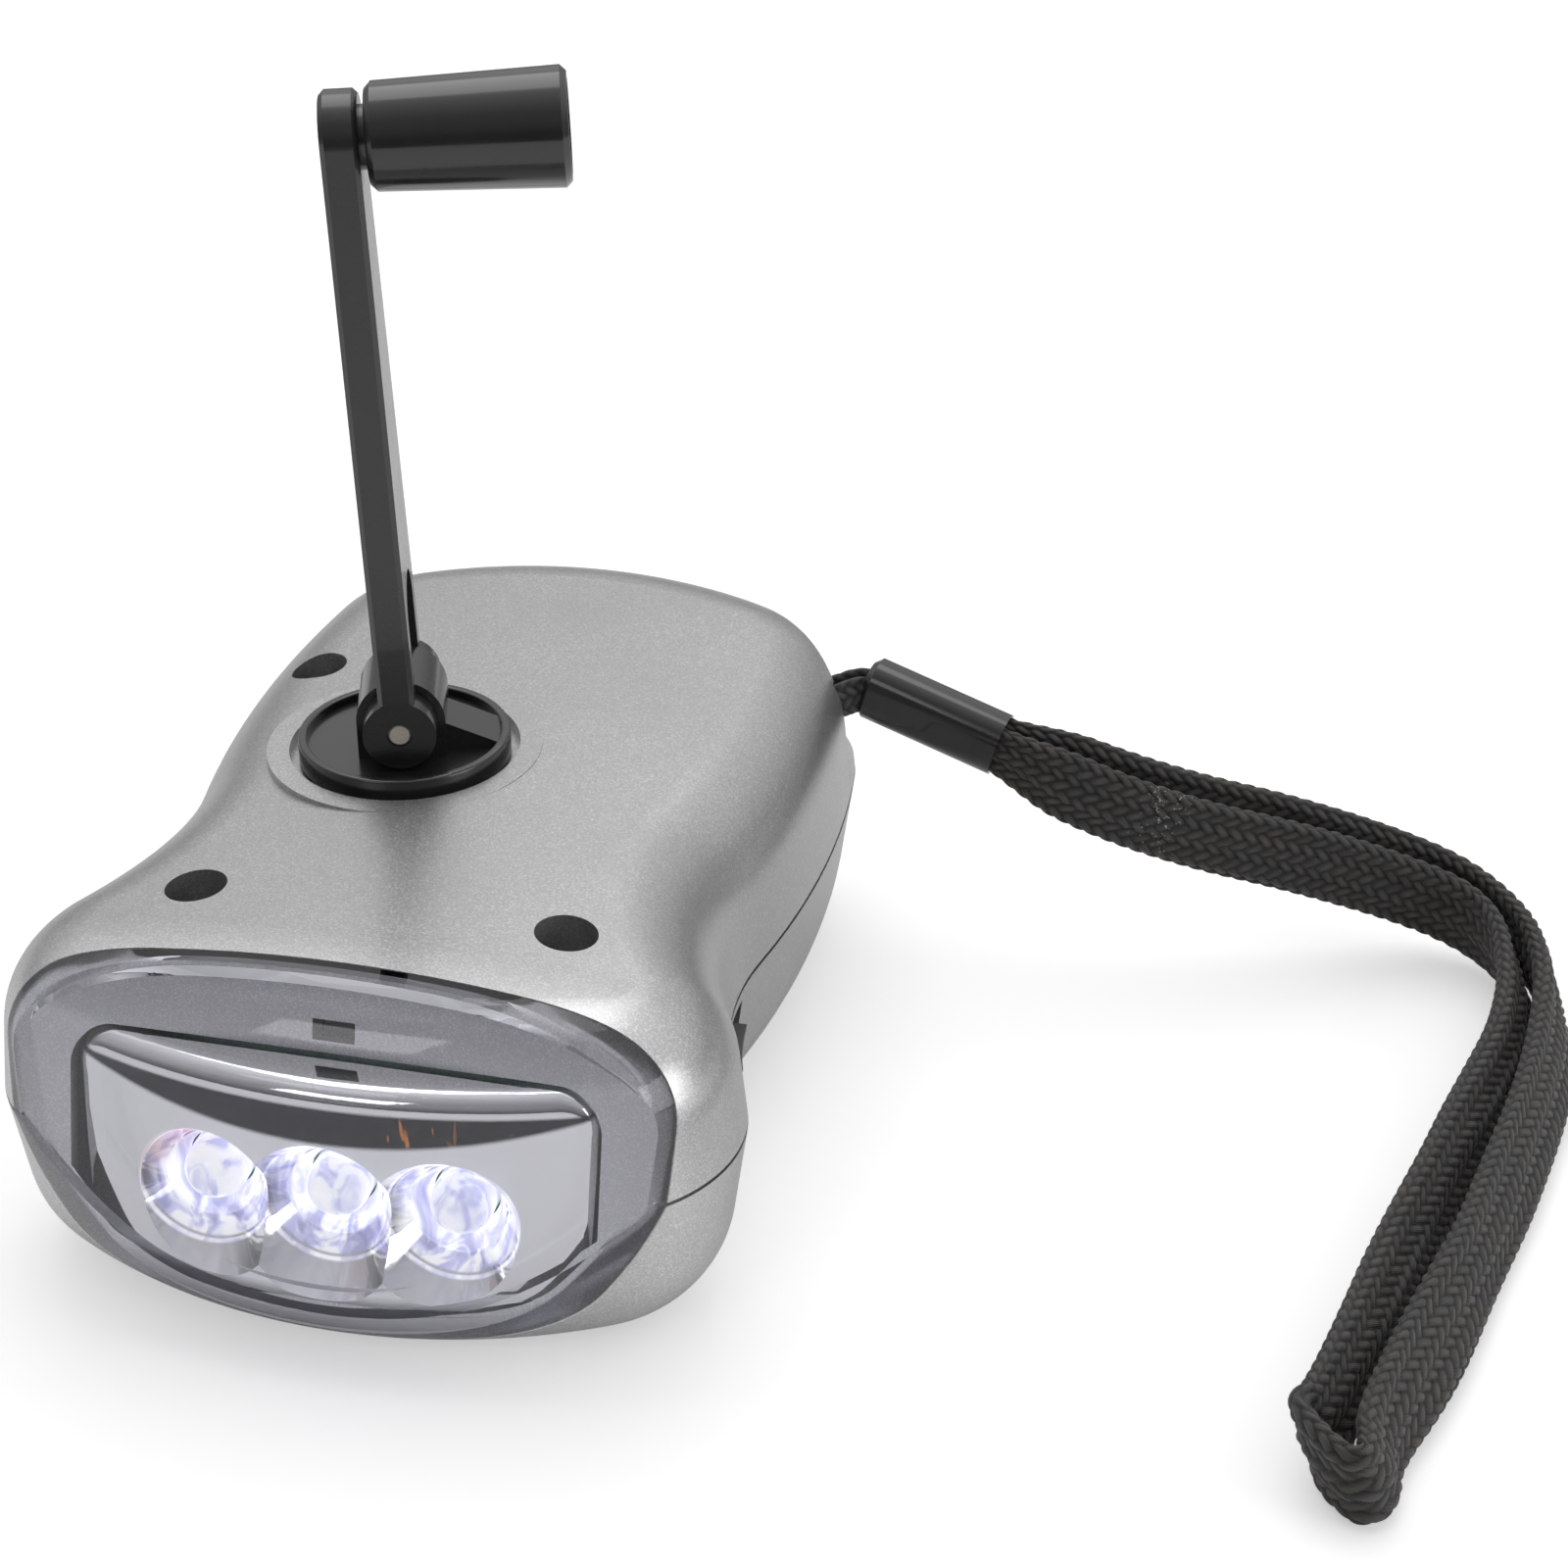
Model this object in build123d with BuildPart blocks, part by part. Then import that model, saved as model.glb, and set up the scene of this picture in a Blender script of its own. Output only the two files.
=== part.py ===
from build123d import *
from math import acos, atan, atan2, cos, degrees, hypot, pi, radians, sin, sqrt, tan
import os

# Hand crank flashlight. Millimetres, X right, Y back, Z up. The base rests on z = 0 and the
# light shines towards -Y. The crank is raised and its knob points to the right.

# --- housing plan: a waisted outline of tangent arcs, mirrored about the middle -----------
head_x, head_y, head_r = 17.3, -28.0, 13.0
front_y = -45.6
waist_x, waist_y = 25.0, -8.0
lobe_x, lobe_r = 27.4, 100.0
back_y, back_r = 45.0, 48.0
corner_r = 13.0

# --- housing section ----------------------------------------------------------------------
wall = 2.0
parting_z = 16.0
body_height = 31.5
top_draft, base_draft = 6.0, 8.0
top_round, base_round = 9.0, 10.0
crown_front_r, crown_back_r = 120.0, 260.0
crown_reach, crown_half = 60.0, 40.0
groove_depth, groove_height = 1.0, 0.3
front_wall_t, front_notch, front_notch_rim = 1.2, (3.4, 1.6), 0.9

# --- lens and reflector -------------------------------------------------------------------
seat_y, seat_slope = -41.0, 0.25
lens_wall = 1.6
lens_gap = 0.15
lens_step, lens_step_at = 0.8, 2.6
drum_y, drum_r = 44.0, 88.0
drum_lean = 11.0
drum_foot_r, drum_brow_r = 5.5, 8.5
drum_top = body_height + 0.67
mirror_half, mirror_low, mirror_high = 21.0, 5.0, 24.0
mirror_corner, mirror_edge, mirror_gap = 3.5, 1.6, 0.3
mirror_y, mirror_lean, mirror_r = -38.3, 8.0, 57.0
mirror_wall, mirror_back = 1.0, -34.5
led_pitch, led_z, led_d = 10.0, 13.0, 5.0
led_tip_y, led_length = -38.3, 8.6
led_flange, led_flange_t = 0.4, 1.0
cup_mouth_d, cup_neck_d = 10.5, 5.3
cup_wall = 0.6
led_board_half, led_board_low, led_board_high = 17.0, 3.0, 20.0
board_thickness = 1.2

# --- crank --------------------------------------------------------------------------------
hub_x, hub_y, hub_turn = -6.4, 0.6, 17.0
land_d, dish_d, dish_depth = 23.4, 19.6, 1.0
hub_bore_d, running_gap = 7.0, 0.05
tube_d, tube_gap = 10.0, 0.4
disc_d, disc_rim, disc_gap, disc_floor, disc_top, disc_round = 18.0, 0.8, 0.3, 1.3, 2.0, 0.25
wedge_low, wedge_high = 0.3, 0.5
pin_lift, pin_d, pin_length, pin_chamfer = 4.0, 2.0, 12.0, 0.2
pin_z = body_height + pin_lift
barrel_r, barrel_length = 3.7, 6.9
arm_length, arm_lean = 49.1, 2.0
arm_thickness, arm_root, arm_tip_r, arm_chamfer = 3.0, 12.2, 3.75, 0.4
slot_gap, slot_length = 0.1, 12.0
eye_r = 3.05
knob_length, knob_near_d, knob_far_d = 15.5, 8.4, 9.4
knob_dish_d, knob_dish_depth, knob_chamfer = 7.4, 9.0, 0.5
axle_d, axle_head_d, axle_head = 3.0, 5.0, 1.2
knob_gap = 0.1
spigot_d, hub_screw_d, hub_screw_rim = 4.4, 2.4, 0.6

# --- gear train: centre distances follow from the modules and tooth counts -----------------
pressure_angle = 20.0
profile_shift = 0.4
drive_module, train_module = 0.7, 0.5
drive_teeth, wheel_teeth, pinion_teeth = 40, 36, 10
drive_backlash, train_backlash = 0.15, 0.12
flank_steps = 2
drive_drop, drive_width = 6.5, 2.2
wheel_width, stage_gap = 1.8, 0.6
web_rim, web_hub = 2.2, 1.6
collar_1_r, collar_2_r = 1.8, 2.2
idler_1_bearing, idler_2_bearing, rotor_bearing = 20.0, 75.0, 160.0
axle_pin_d, axle_boss = 1.5, 1.5
plate_gap, plate_thickness = 1.4, 1.4
plate_edge_r = 3.4
plate_posts = [(19.0, 9.0), (-12.0, 12.0), (13.5, 30.5)]
post_r = 2.3
drive_z = body_height - drive_drop
wheel_1_z = drive_z - wheel_width - stage_gap
wheel_2_z = wheel_1_z - wheel_width - stage_gap
plate_z = wheel_2_z - plate_gap - plate_thickness

# --- generator ----------------------------------------------------------------------------
stator_r, stator_z, stator_clear, cup_sheet = 11.5, 3.0, 2.4, 1.0
stator_height = plate_z - stator_z - stator_clear
claw_r, claw_sheet, claw_count = 7.3, 0.8, 8
claw_fill = 0.7
bobbin_r, bobbin_wall, bobbin_flange, coil_r, coil_gap = 8.3, 0.5, 0.6, 10.1, 0.2
magnet_r, magnet_inset = 7.0, 2.0

# --- fasteners ----------------------------------------------------------------------------
case_screws_at = [(-19.5, 14.5), (-15.3, -24.0), (15.3, -24.0)]
recess_d, recess_depth = 5.0, 9.5
recess_floor = body_height - recess_depth
boss_d, boss_low_d = 7.2, 6.0
screw_d, screw_head_d, screw_head, screw_low = 2.0, 4.2, 1.6, 8.0
thread_gap, hole_gap = 0.02, 0.2
plate_head_d, plate_head = 3.6, 1.1

# --- knob recess and wrist strap ----------------------------------------------------------
recess_r = 42.4
recess_foot, recess_head = (10.5, 39.2), (2.5, 46.2)
recess_ledge = 17.2
strap_width, strap_thickness = 7.0, 1.9
sleeve_start, sleeve_end = (27.2, 31.9, 25.2), (40.2, 29.9, 21.6)
sleeve_height, sleeve_thickness, sleeve_wall, sleeve_flat = 6.0, 4.6, 0.6, 0.1
anchor = (20.1, 27.6, 23.4)
anchor_r, anchor_gap, loop_wall = 1.1, 0.15, 1.2
tail_height, tail_thickness = 3.6, 2.4
tail_knee, tail_grip = 1.0, 3.0

# --- power --------------------------------------------------------------------------------
cell_d, cell_length, cell_count = 15.5, 5.9, 3
cell_x, cell_y, cell_z = -13.5, -12.0, 3.0
cradle_gap = 0.1
tab_sheet, tab_width, tab_overhang = 0.3, 4.0, 2.0
board_left, board_right, board_front, board_back, board_z = 7.5, 19.6, -19.6, -4.0, 12.0
slider_y, slider_length, slider_z, slider_height = -16.2, 6.4, 10.4, 4.2
board_corner = 1.0
capacitor_d, capacitor_height, capacitor_round, capacitor_inset = 5.0, 7.0, 0.5, 3.2
diode_d, diode_length, diode_pitch, diode_inset = 1.8, 3.6, 3.0, 1.0
slider_travel, slider_gap, slider_proud = 3.0, 0.2, 1.2
rib_slots, rib_slot, rib_inset = 4, 0.5, 3.2
switch_depth, switch_length, switch_height = 4.0, 10.0, 3.6
lever_size, lever_lift, lever_grip = 1.4, 1.6, 0.8
flange_x, flange_sheet, flange_margin = 21.0, 0.8, 0.9

os.makedirs("parts", exist_ok=True)


def save(solid, name):
    """Label one finished piece and write its file."""
    solid.label = name
    export_step(solid, f"parts/{name}.step")


# === housing form =========================================================================

def meet(a, ra, b, rb):
    """Right-hand crossing of two circles."""
    dx, dy = b[0] - a[0], b[1] - a[1]
    d = hypot(dx, dy)
    t = (ra**2 - rb**2 + d**2) / (2 * d)
    h = sqrt(ra**2 - t**2)
    px, py = a[0] + dx * t / d, a[1] + dy * t / d
    return max((px + h * dy / d, py - h * dx / d), (px - h * dy / d, py + h * dx / d))


def bearing(p, q):
    """Direction from p to q in degrees."""
    return degrees(atan2(q[1] - p[1], q[0] - p[0]))


front_rise = head_y - front_y
front_r = (head_x**2 + front_rise**2 - head_r**2) / (2 * (front_rise - head_r))
waist_dx, waist_dy = waist_x - head_x, waist_y - head_y
waist_r = (waist_dx**2 + waist_dy**2 - head_r**2) / (2 * (head_r - waist_dx))
front_c = (0.0, front_y + front_r)
head_c = (head_x, head_y)
waist_c = (waist_x + waist_r, waist_y)
lobe_cx = lobe_x - lobe_r
lobe_c = (lobe_cx, waist_y + sqrt((waist_r + lobe_r)**2 - (waist_c[0] - lobe_cx)**2))
back_c = (0.0, back_y - back_r)
corner_c = meet(lobe_c, lobe_r - corner_r, back_c, back_r - corner_r)


def outline(inset, height):
    """Plan outline of the housing, drawn inwards by inset, at one height."""
    f = bearing(front_c, head_c)
    w = bearing(head_c, waist_c)
    l = bearing(lobe_c, waist_c)
    c = bearing(lobe_c, corner_c)
    e = bearing(back_c, corner_c)
    with BuildSketch(Plane.XY.offset(height)) as plan:
        with BuildLine():
            CenterArc(front_c, front_r - inset, -90, f + 90)
            CenterArc(head_c, head_r - inset, f, w - f)
            CenterArc(waist_c, waist_r + inset, w + 180, l - w)
            CenterArc(lobe_c, lobe_r - inset, l, c - l)
            CenterArc(corner_c, corner_r - inset, c, e - c)
            CenterArc(back_c, back_r - inset, e, 90 - e)
            mirror(about=Plane.YZ)
        make_face()
    return plan.sketch


def form(inset):
    """The whole housing as a solid: drafted sides, a crowned top and rounded rims."""
    with BuildPart() as crown:
        for y, r in ((-crown_reach, crown_front_r), (crown_reach, crown_back_r)):
            top = body_height - inset
            side = top - r + sqrt(r**2 - crown_half**2)
            with BuildSketch(Plane.XZ.offset(-y)):
                with BuildLine():
                    Polyline((-crown_half, side), (-crown_half, -wall), (crown_half, -wall),
                             (crown_half, side))
                    ThreePointArc((crown_half, side), (0, top), (-crown_half, side))
                make_face()
        loft(ruled=True)
    roof = body_height + wall
    mid = outline(inset, parting_z)
    high = outline(inset + (roof - parting_z) * tan(radians(top_draft)), roof)
    low = outline(inset + (parting_z - inset) * tan(radians(base_draft)), inset)
    with BuildPart() as body:
        loft(sections=[mid, high], ruled=True)
        loft(sections=[mid, low], ruled=True)
        add(crown.part, mode=Mode.INTERSECT)
        fillet(body.faces().sort_by(Axis.Z)[-1].edges(), top_round - inset)
        fillet(body.faces().sort_by(Axis.Z)[0].edges(), base_round - inset)
    return body.part


outer = form(0)
cavity = form(wall)
seat_tilt = degrees(atan(seat_slope))


def ahead(gap):
    """Everything in front of the lens seat, moved forward by gap."""
    normal = (0, -cos(radians(seat_tilt)), sin(radians(seat_tilt)))
    with BuildPart() as block:
        with BuildSketch(Plane(origin=(0, seat_y, 0), x_dir=(1, 0, 0), z_dir=normal).offset(gap)):
            Rectangle(4 * head_r + 2 * head_x, 4 * body_height)
        extrude(amount=body_height)
    return block.part


def half(low, high):
    """A slab over the whole plan, from low to high."""
    with BuildPart() as slab:
        with BuildSketch(Plane.XY.offset(low)):
            Rectangle(4 * back_y, 4 * back_y)
        extrude(amount=high - low)
    return slab.part


def knob_recess(grow, low):
    """Cutter for the stowed knob's path at the back right corner, above low."""
    ex, ey = recess_head[0] - recess_foot[0], recess_head[1] - recess_foot[1]
    run = hypot(ex, ey)
    ex, ey = ex / run, ey / run
    fx, fy = recess_foot[0] - ey * grow, recess_foot[1] + ex * grow
    with BuildPart() as cutter:
        with BuildSketch(Plane.XY.offset(low)) as plan:
            with BuildLine():
                Polyline((fx - 3 * corner_r * ex, fy - 3 * corner_r * ey),
                         (fx + run * 2 * ex, fy + run * 2 * ey), (fx, 2 * back_y),
                         (2 * back_y, 2 * back_y), (2 * back_y, 0), close=True)
            make_face()
            with Locations((hub_x, hub_y)):
                Circle(recess_r - grow, mode=Mode.SUBTRACT)
            foot = plan.vertices().sort_by_distance(Vector(fx, fy, low))[0]
            fillet(foot, wall + 1 + grow)
        extrude(amount=body_height)
    return cutter.part


# Wall across the mouth of the housing behind the lens, with an opening for the reflector.
with BuildPart() as front_wall:
    add(cavity)
    add(ahead(-front_wall_t), mode=Mode.INTERSECT)
    add(ahead(0), mode=Mode.SUBTRACT)
    with BuildSketch(Plane.XZ.offset(-mirror_back)):
        with Locations((0, (mirror_low + mirror_high) / 2)):
            RectangleRounded(2 * (mirror_half + mirror_gap), mirror_high - mirror_low + 2 * mirror_gap,
                             mirror_corner)
    extrude(amount=body_height, both=True, mode=Mode.SUBTRACT)
    with BuildSketch(Plane.XZ.offset(-mirror_back)):
        with Locations((0, mirror_high + mirror_gap + front_notch_rim + front_notch[1] / 2)):
            Rectangle(*front_notch)
    extrude(amount=body_height, both=True, mode=Mode.SUBTRACT)

with BuildPart() as hollow_top:
    add(cavity)
    add(knob_recess(wall, parting_z), mode=Mode.SUBTRACT)

with BuildPart() as groove:
    add(outer)
    add(form(groove_depth), mode=Mode.SUBTRACT)
    add(half(parting_z, parting_z + groove_height), mode=Mode.INTERSECT)


def hub_plane(height):
    """Level plane through the hub axis, x towards the knob."""
    turn = radians(hub_turn)
    return Plane(origin=(hub_x, hub_y, height), x_dir=(cos(turn), sin(turn), 0), z_dir=(0, 0, 1))


tail_dir = Vector(*sleeve_start) - Vector(*anchor)
tail_plane = Plane(origin=anchor, x_dir=(tail_dir.Y, -tail_dir.X, 0), z_dir=tail_dir)

# --- upper shell --------------------------------------------------------------------------
with BuildPart() as top_bosses:
    for x, y in case_screws_at:
        with Locations((x, y, parting_z + groove_height)):
            Cylinder(boss_d / 2, body_height, align=(Align.CENTER, Align.CENTER, Align.MIN))
    add(outer, mode=Mode.INTERSECT)

drive_r = drive_module * drive_teeth / 2
wheel_r = train_module * wheel_teeth / 2
pinion_1_r = drive_module * pinion_teeth / 2
pinion_r = train_module * pinion_teeth / 2


def away(start, distance, direction):
    """Point at a distance and bearing from start."""
    return (start[0] + distance * cos(radians(direction)),
            start[1] + distance * sin(radians(direction)))


hub_at = (hub_x, hub_y)
idler_1_at = away(hub_at, drive_r + pinion_1_r, idler_1_bearing)
idler_2_at = away(idler_1_at, wheel_r + pinion_r, idler_2_bearing)
rotor_at = away(idler_2_at, wheel_r + pinion_r, rotor_bearing)
gear_1_top = drive_z + drive_width + running_gap * 2
pinion_2_top = wheel_1_z + wheel_width + hole_gap
roof_z = body_height - wall

with BuildPart() as roof_bosses:
    with Locations((*idler_1_at, gear_1_top + hole_gap)):
        Cylinder(axle_pin_d / 2 + axle_boss, wall * 2, align=(Align.CENTER, Align.CENTER, Align.MIN))
    with Locations((*idler_2_at, pinion_2_top + hole_gap)):
        Cylinder(axle_pin_d / 2 + axle_boss, wall * 3, align=(Align.CENTER, Align.CENTER, Align.MIN))
    with Locations((anchor[0], anchor[1], anchor[2] - tail_height / 2 - anchor_gap)):
        Cylinder(anchor_r, body_height, align=(Align.CENTER, Align.CENTER, Align.MIN))
    with Locations((*hub_at, roof_z - dish_depth)):
        Cylinder(land_d / 2, wall, align=(Align.CENTER, Align.CENTER, Align.MIN))
    with Locations((*hub_at, drive_z + drive_width + tube_gap)):
        Cylinder(tube_d / 2, wall, align=(Align.CENTER, Align.CENTER, Align.MIN))
    add(outer, mode=Mode.INTERSECT)

with BuildPart() as tail_room:
    with Locations(anchor):
        Cylinder(anchor_r + anchor_gap + loop_wall + hole_gap, tail_height + 2 * anchor_gap)
    with BuildSketch(tail_plane):
        Rectangle(tail_thickness + 2 * hole_gap, tail_height + 2 * hole_gap)
    extrude(amount=tail_dir.length)
    with Locations(anchor):
        Cylinder(anchor_r, 3 * tail_height, mode=Mode.SUBTRACT)

with BuildPart() as shell_top:
    add(outer)
    add(knob_recess(0, recess_ledge), mode=Mode.SUBTRACT)
    add(hollow_top.part, mode=Mode.SUBTRACT)
    add(front_wall.part)
    add(half(-wall, parting_z), mode=Mode.SUBTRACT)
    add(ahead(0), mode=Mode.SUBTRACT)
    add(groove.part, mode=Mode.SUBTRACT)
    add(top_bosses.part)
    add(roof_bosses.part)
    with Locations((*hub_at, body_height)):
        Cylinder(land_d / 2, 2 * wall, align=(Align.CENTER, Align.CENTER, Align.MAX))
    with Locations((*hub_at, body_height)):
        Cylinder(dish_d / 2, dish_depth, align=(Align.CENTER, Align.CENTER, Align.MAX),
                 mode=Mode.SUBTRACT)
        Cylinder(hub_bore_d / 2, body_height, align=(Align.CENTER, Align.CENTER, Align.MAX),
                 mode=Mode.SUBTRACT)
    for x, y in case_screws_at:
        with Locations((x, y, recess_floor)):
            Cylinder(recess_d / 2, body_height, align=(Align.CENTER, Align.CENTER, Align.MIN),
                     mode=Mode.SUBTRACT)
            Cylinder(screw_d / 2 + hole_gap, recess_floor,
                     align=(Align.CENTER, Align.CENTER, Align.MAX), mode=Mode.SUBTRACT)
    with Locations((*hub_at, drive_z - hole_gap)):
        Cylinder(drive_r + drive_module + hole_gap, drive_width + 2 * hole_gap,
                 align=(Align.CENTER, Align.CENTER, Align.MIN), mode=Mode.SUBTRACT)
    for x, y in (idler_1_at, idler_2_at):
        with Locations((x, y, roof_z - hole_gap)):
            Cylinder(axle_pin_d / 2 + thread_gap, body_height,
                     align=(Align.CENTER, Align.CENTER, Align.MAX), mode=Mode.SUBTRACT)
    add(tail_room.part, mode=Mode.SUBTRACT)
save(shell_top.part, "shell_top")

# --- lower shell --------------------------------------------------------------------------
with BuildPart() as low_bosses:
    for x, y in case_screws_at:
        with Locations((x, y, parting_z + groove_height)):
            Cylinder(boss_low_d / 2, parting_z, align=(Align.CENTER, Align.CENTER, Align.MAX))
    for x, y in plate_posts:
        with Locations((x, y, plate_z)):
            Cylinder(post_r, parting_z, align=(Align.CENTER, Align.CENTER, Align.MAX))
    with Locations((*rotor_at, stator_z)):
        Cylinder(claw_r - claw_sheet, stator_z - wall / 2,
                 align=(Align.CENTER, Align.CENTER, Align.MAX))
    for x in (cell_x + cell_length / 2, cell_x + cell_length * (cell_count - 0.5)):
        with Locations((x, cell_y, wall)):
            Box(wall, cell_d * 0.8, cell_d / 4, align=(Align.CENTER, Align.CENTER, Align.MIN))
    for x in (-led_board_half + wall, led_board_half - wall):
        for y, side in ((led_tip_y + led_length + board_thickness + lens_gap, Align.MIN),
                        (led_tip_y + led_length - lens_gap, Align.MAX)):
            with Locations((x, y, wall)):
                Box(2 * wall, wall, cell_d / 3, align=(Align.CENTER, side, Align.MIN))
    for y in (board_front + 2 * wall, board_back - 2 * wall):
        with Locations(((board_left + board_right) / 2, y, wall)):
            Box(wall, wall, board_z - wall, align=(Align.CENTER, Align.CENTER, Align.MIN))
    add(outer, mode=Mode.INTERSECT)

slot_front = slider_y - slider_gap
slot_back = slider_y + slider_length + slider_travel + slider_gap

with BuildPart() as shell_bottom:
    add(outer)
    add(cavity, mode=Mode.SUBTRACT)
    add(front_wall.part)
    add(half(parting_z, body_height + wall), mode=Mode.SUBTRACT)
    add(low_bosses.part)
    add(ahead(0), mode=Mode.SUBTRACT)
    for x, y in case_screws_at:
        with Locations((x, y, screw_low - wall)):
            Cylinder(screw_d / 2 + thread_gap, parting_z,
                     align=(Align.CENTER, Align.CENTER, Align.MIN), mode=Mode.SUBTRACT)
    for x, y in plate_posts:
        with Locations((x, y, screw_low - wall)):
            Cylinder(screw_d / 2 + thread_gap, parting_z,
                     align=(Align.CENTER, Align.CENTER, Align.MIN), mode=Mode.SUBTRACT)
    with Locations((*rotor_at, wall)):
        Cylinder(axle_pin_d / 2 + running_gap, stator_z,
                 align=(Align.CENTER, Align.CENTER, Align.MIN), mode=Mode.SUBTRACT)
    with BuildSketch(Plane(origin=(cell_x - wall, cell_y, cell_z + cell_d / 2),
                           x_dir=(0, 1, 0), z_dir=(1, 0, 0))):
        Circle(cell_d / 2 + cradle_gap)
    extrude(amount=cell_count * cell_length + 2 * wall, mode=Mode.SUBTRACT)
    with Locations((waist_x, slot_front, slider_z - slider_gap)):
        Box(4 * wall, slot_back - slot_front, slider_height + 2 * slider_gap,
            align=(Align.CENTER, Align.MIN, Align.MIN), mode=Mode.SUBTRACT)
save(shell_bottom.part, "shell_bottom")

# --- lens: the housing form ahead of the seat, closed by a leaning drum --------------------
lean_n, lean_z = cos(radians(drum_lean)), sin(radians(drum_lean))
foot_c = (drum_r - drum_foot_r, drum_foot_r)
brow_z = drum_top - drum_brow_r
brow_rho = foot_c[0] + (drum_foot_r - drum_brow_r - (brow_z - foot_c[1]) * lean_z) / lean_n
brow_c = (brow_rho, brow_z)


def drum(inset):
    """Turned form of the lens face: a rounded foot, a leaning front and a rounded brow."""
    foot, brow = drum_foot_r - inset, drum_brow_r - inset
    with BuildPart() as turned:
        with BuildSketch(Plane(origin=(0, drum_y, 0), x_dir=(1, 0, 0), z_dir=(0, -1, 0))):
            with BuildLine():
                Polyline((0, brow_c[1] + brow), (0, foot_c[1] - foot), (foot_c[0], foot_c[1] - foot))
                CenterArc(foot_c, foot, -90, 90 + drum_lean)
                Line((foot_c[0] + foot * lean_n, foot_c[1] + foot * lean_z),
                     (brow_c[0] + brow * lean_n, brow_c[1] + brow * lean_z))
                CenterArc(brow_c, brow, drum_lean, 90 - drum_lean)
                Line((brow_c[0], brow_c[1] + brow), (0, brow_c[1] + brow))
            make_face()
        revolve(axis=Axis((0, drum_y, 0), (0, 0, 1)))
    return turned.part


with BuildPart() as lens_mouth:
    add(form(lens_wall))
    add(ahead(lens_step_at), mode=Mode.SUBTRACT)

with BuildPart() as lens_core:
    add(form(lens_wall + lens_step))
    add(lens_mouth.part)
    add(drum(lens_wall), mode=Mode.INTERSECT)

with BuildPart() as lens:
    add(outer)
    add(drum(0), mode=Mode.INTERSECT)
    add(ahead(lens_gap), mode=Mode.INTERSECT)
    add(lens_core.part, mode=Mode.SUBTRACT)
save(lens.part, "lens")

# --- reflector: a bright plate bowed forward, with three cups ------------------------------
mirror_mid = (mirror_low + mirror_high) / 2


def plate(inset):
    """Reflector block: a rounded rectangle whose face is bowed and leans back."""
    lean = radians(mirror_lean)
    centre = mirror_y + mirror_r - (mirror_high - mirror_mid) * tan(lean)
    with BuildPart() as block:
        with BuildSketch(Plane.XZ.offset(-mirror_back + (inset > 0) * -mirror_wall)):
            with Locations((0, mirror_mid)):
                RectangleRounded(2 * (mirror_half - inset), mirror_high - mirror_low - 2 * inset,
                                 mirror_corner - inset)
        extrude(amount=body_height)
        with BuildSketch(Plane(origin=(0, centre, mirror_mid), x_dir=(1, 0, 0),
                               z_dir=(0, sin(lean), cos(lean)))):
            Circle(mirror_r - inset)
        extrude(amount=body_height, both=True, mode=Mode.INTERSECT)
        fillet(block.faces().sort_by(Axis.Y)[0].edges(), mirror_edge - inset / 2)
    return block.part


cup_deep = led_tip_y + led_d / 2 + led_d / 4
led_xs = [-led_pitch, 0.0, led_pitch]


def cups(grow, front):
    """Three cones side by side, from the neck behind the plate out to front."""
    slope = (cup_mouth_d - cup_neck_d) / 2 / (cup_deep - mirror_y)
    mouth = cup_mouth_d / 2 + slope * (mirror_y - front)
    with BuildPart() as cones:
        for x in led_xs:
            with BuildSketch(Plane.XZ.offset(-cup_deep)):
                with Locations((x, led_z)):
                    Circle(cup_neck_d / 2 + grow)
            with BuildSketch(Plane.XZ.offset(-front)):
                with Locations((x, led_z)):
                    Circle(mouth + grow)
            loft(ruled=True)
    return cones.part


with BuildPart() as cup_walls:
    add(cups(cup_wall, mirror_y - wall))
    add(plate(0), mode=Mode.INTERSECT)

with BuildPart() as reflector:
    add(plate(0))
    add(plate(mirror_wall), mode=Mode.SUBTRACT)
    add(cup_walls.part)
    for x in (-led_board_half + wall, led_board_half - wall):
        with BuildSketch(Plane.XZ.offset(-(led_tip_y + led_length))):
            with Locations((x, led_z)):
                Circle(led_d / 4)
        extrude(until=Until.NEXT)
    add(cups(0, mirror_y - 2 * wall), mode=Mode.SUBTRACT)
    add(form(wall + hole_gap), mode=Mode.INTERSECT)
save(reflector.part, "reflector")

# --- light-emitting diodes on their board ---------------------------------------------------
led_base_y = led_tip_y + led_length
for x, name in zip(led_xs, ("led_left", "led_middle", "led_right")):
    with BuildPart() as led:
        with BuildSketch(Plane(origin=(x, 0, led_z), x_dir=(1, 0, 0), z_dir=(0, 0, 1))):
            with BuildLine():
                Polyline((0, led_base_y), (led_d / 2 + led_flange, led_base_y),
                         (led_d / 2 + led_flange, led_base_y - led_flange_t),
                         (led_d / 2, led_base_y - led_flange_t),
                         (led_d / 2, led_tip_y + led_d / 2))
                CenterArc((0, led_tip_y + led_d / 2), led_d / 2, 0, -90)
                Line((0, led_tip_y), (0, led_base_y))
            make_face()
        revolve(axis=Axis((x, 0, led_z), (0, 1, 0)))
    save(led.part, name)

with BuildPart() as led_board:
    with BuildSketch(Plane.XZ.offset(-led_base_y)):
        with Locations((0, (led_board_low + led_board_high) / 2)):
            RectangleRounded(2 * led_board_half, led_board_high - led_board_low, board_corner)
    extrude(amount=-board_thickness)
save(led_board.part, "led_board")


# === crank ================================================================================

disc_z = body_height - dish_depth + disc_gap
rim_z = disc_z + disc_top
floor_z = disc_z + disc_floor
shaft_r = hub_bore_d / 2 - running_gap
spigot_low = drive_z + running_gap * 2
drive_top = drive_z + drive_width
pin_side = hub_plane(pin_z)
side_plane = Plane(origin=pin_side.origin, x_dir=pin_side.x_dir, z_dir=-pin_side.y_dir)

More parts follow.
